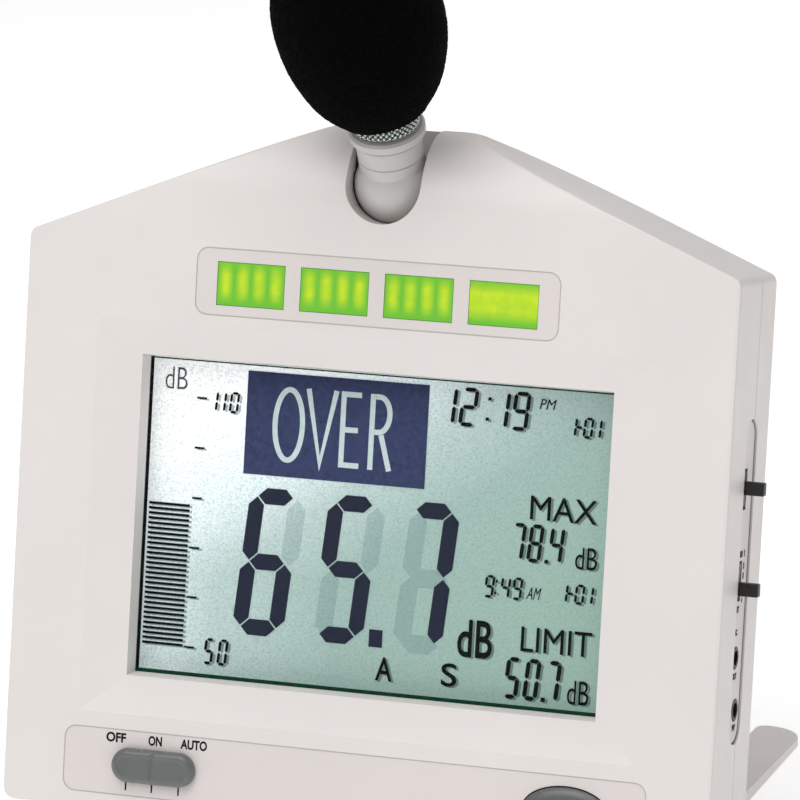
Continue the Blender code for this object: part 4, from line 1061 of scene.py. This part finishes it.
def dress_nodes():
    """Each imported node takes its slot's material and shades as the smooth body that it is."""
    slots = {part["node"]: part["material_slot"] for part in frame["record"]["subparts"]}
    for name, node in frame["nodes"].items():
        material = slots[name]
        if name.startswith("lamp_window_"):
            material = "lamp_" + name[-1]
        mesh = node.data
        mesh.materials.append(MATERIALS[material])
        if "custom_normal" in mesh.attributes:
            mesh.attributes.remove(mesh.attributes["custom_normal"])
        mesh.shade_smooth()
        marks = mesh.attributes.get("sharp_edge")
        if marks is None:
            marks = mesh.attributes.new("sharp_edge", "BOOLEAN", "EDGE")
        marks.data.foreach_set("value", creased_edges(mesh))
        weld = node.modifiers.new("weld", "WELD")
        weld.merge_threshold = WELD_DISTANCE
        split = node.modifiers.new("creases", "EDGE_SPLIT")
        split.use_edge_angle = False
        split.use_edge_sharp = True
        flat = node.modifiers.new("flat_faces", "WEIGHTED_NORMAL")
        flat.weight = 100
        flat.keep_sharp = True


# The studio ----------------------------------------------------------------------------------------


def camera():
    """The photograph's view: its target and distance are in the casing's millimetres."""
    yaw, pitch, roll = CAMERA_YAW, CAMERA_PITCH, CAMERA_ROLL
    away = Vector((math.sin(yaw) * math.cos(pitch), -math.cos(yaw) * math.cos(pitch), math.sin(pitch)))
    level = Vector((math.cos(yaw), math.sin(yaw), 0))
    upright = away.cross(level)
    right = math.cos(roll) * level + math.sin(roll) * upright
    up = math.cos(roll) * upright - math.sin(roll) * level
    turn = Matrix((right, up, away)).transposed().to_4x4()
    place = Matrix.Translation(Vector(CAMERA_TARGET) + away * CAMERA_DISTANCE) @ turn
    data = bpy.data.cameras.new("photo_camera")
    data.lens = CAMERA_LENS
    data.sensor_width = 36.0
    data.clip_start = 0.05
    data.clip_end = 20.0
    made = bpy.data.objects.new("photo_camera", data)
    bpy.context.scene.collection.objects.link(made)
    location, rotation, _ = (CASING @ place).decompose()
    made.matrix_world = Matrix.LocRotScale(location, rotation, None)
    bpy.context.scene.camera = made


def area_light(name, place, target, size, power, colour):
    """A round soft light, in metres and watts, aimed at the target."""
    data = bpy.data.lights.new(name, "AREA")
    data.shape = "DISK"
    data.size = size
    data.energy = power
    data.color = colour
    made = bpy.data.objects.new(name, data)
    bpy.context.scene.collection.objects.link(made)
    made.location = place
    made.rotation_euler = (Vector(target) - Vector(place)).to_track_quat("-Z", "Y").to_euler()


FLOOR_RADIUS, FLOOR_THICKNESS = 3.2, 0.0006
WORLD_STRENGTH = 0.35
LIGHT_TARGET = (0, 0, 0.08)
LIGHTS = (
    # name, place, target, size, power, colour
    ("key", (-0.5, -1.25, 1.5), LIGHT_TARGET, 1.4, 13.4, (1.0, 0.995, 0.985)),
    ("top", (0.1, -0.4, 1.9), (0, 0, 0.1), 1.6, 13.5, (1.0, 1.0, 1.0)),
    ("fill", (1.3, -0.7, 0.7), LIGHT_TARGET, 1.0, 0.3, (1.0, 0.985, 0.98)),
    ("back", (0.2, 1.2, 1.1), (0, 0, 0.1), 0.9, 2.0, (1.0, 1.0, 1.0)),
)


def studio():
    """A round pale floor, soft lights and an even white surround."""
    MATERIALS["floor"] = pressed_paper("floor", (0.93, 0.93, 0.93, 1.0))
    outline = oval((0, 0), FLOOR_RADIUS, FLOOR_RADIUS, 96)
    mesh = bpy.data.meshes.new("floor")
    points = [(x, y, 0.0) for x, y in outline] + [(x, y, -FLOOR_THICKNESS) for x, y in outline]
    count = len(outline)
    faces = [list(range(count)), list(range(2 * count - 1, count - 1, -1))]
    faces += [[i, i + count, (i + 1) % count + count, (i + 1) % count] for i in range(count)]
    mesh.from_pydata(points, [], faces)
    mesh.materials.append(MATERIALS["floor"])
    floor = bpy.data.objects.new("floor", mesh)
    bpy.context.scene.collection.objects.link(floor)
    for light in LIGHTS:
        area_light(*light)
    world = bpy.data.worlds.new("studio")
    world.use_nodes = True
    ground = world.node_tree.nodes["Background"]
    ground.inputs["Color"].default_value = (1.0, 1.0, 1.0, 1.0)
    ground.inputs["Strength"].default_value = WORLD_STRENGTH
    bpy.context.scene.world = world
    bpy.context.scene.view_settings.view_transform = "Standard"


dress_nodes()
foam()
barrel()
switch_cap()
button()
display_pieces()
display_edge_painted_shade()
pane_edges()
label_gap_painted_shade()
front_printing()
side_print_and_painted_shade()
studio()
camera()
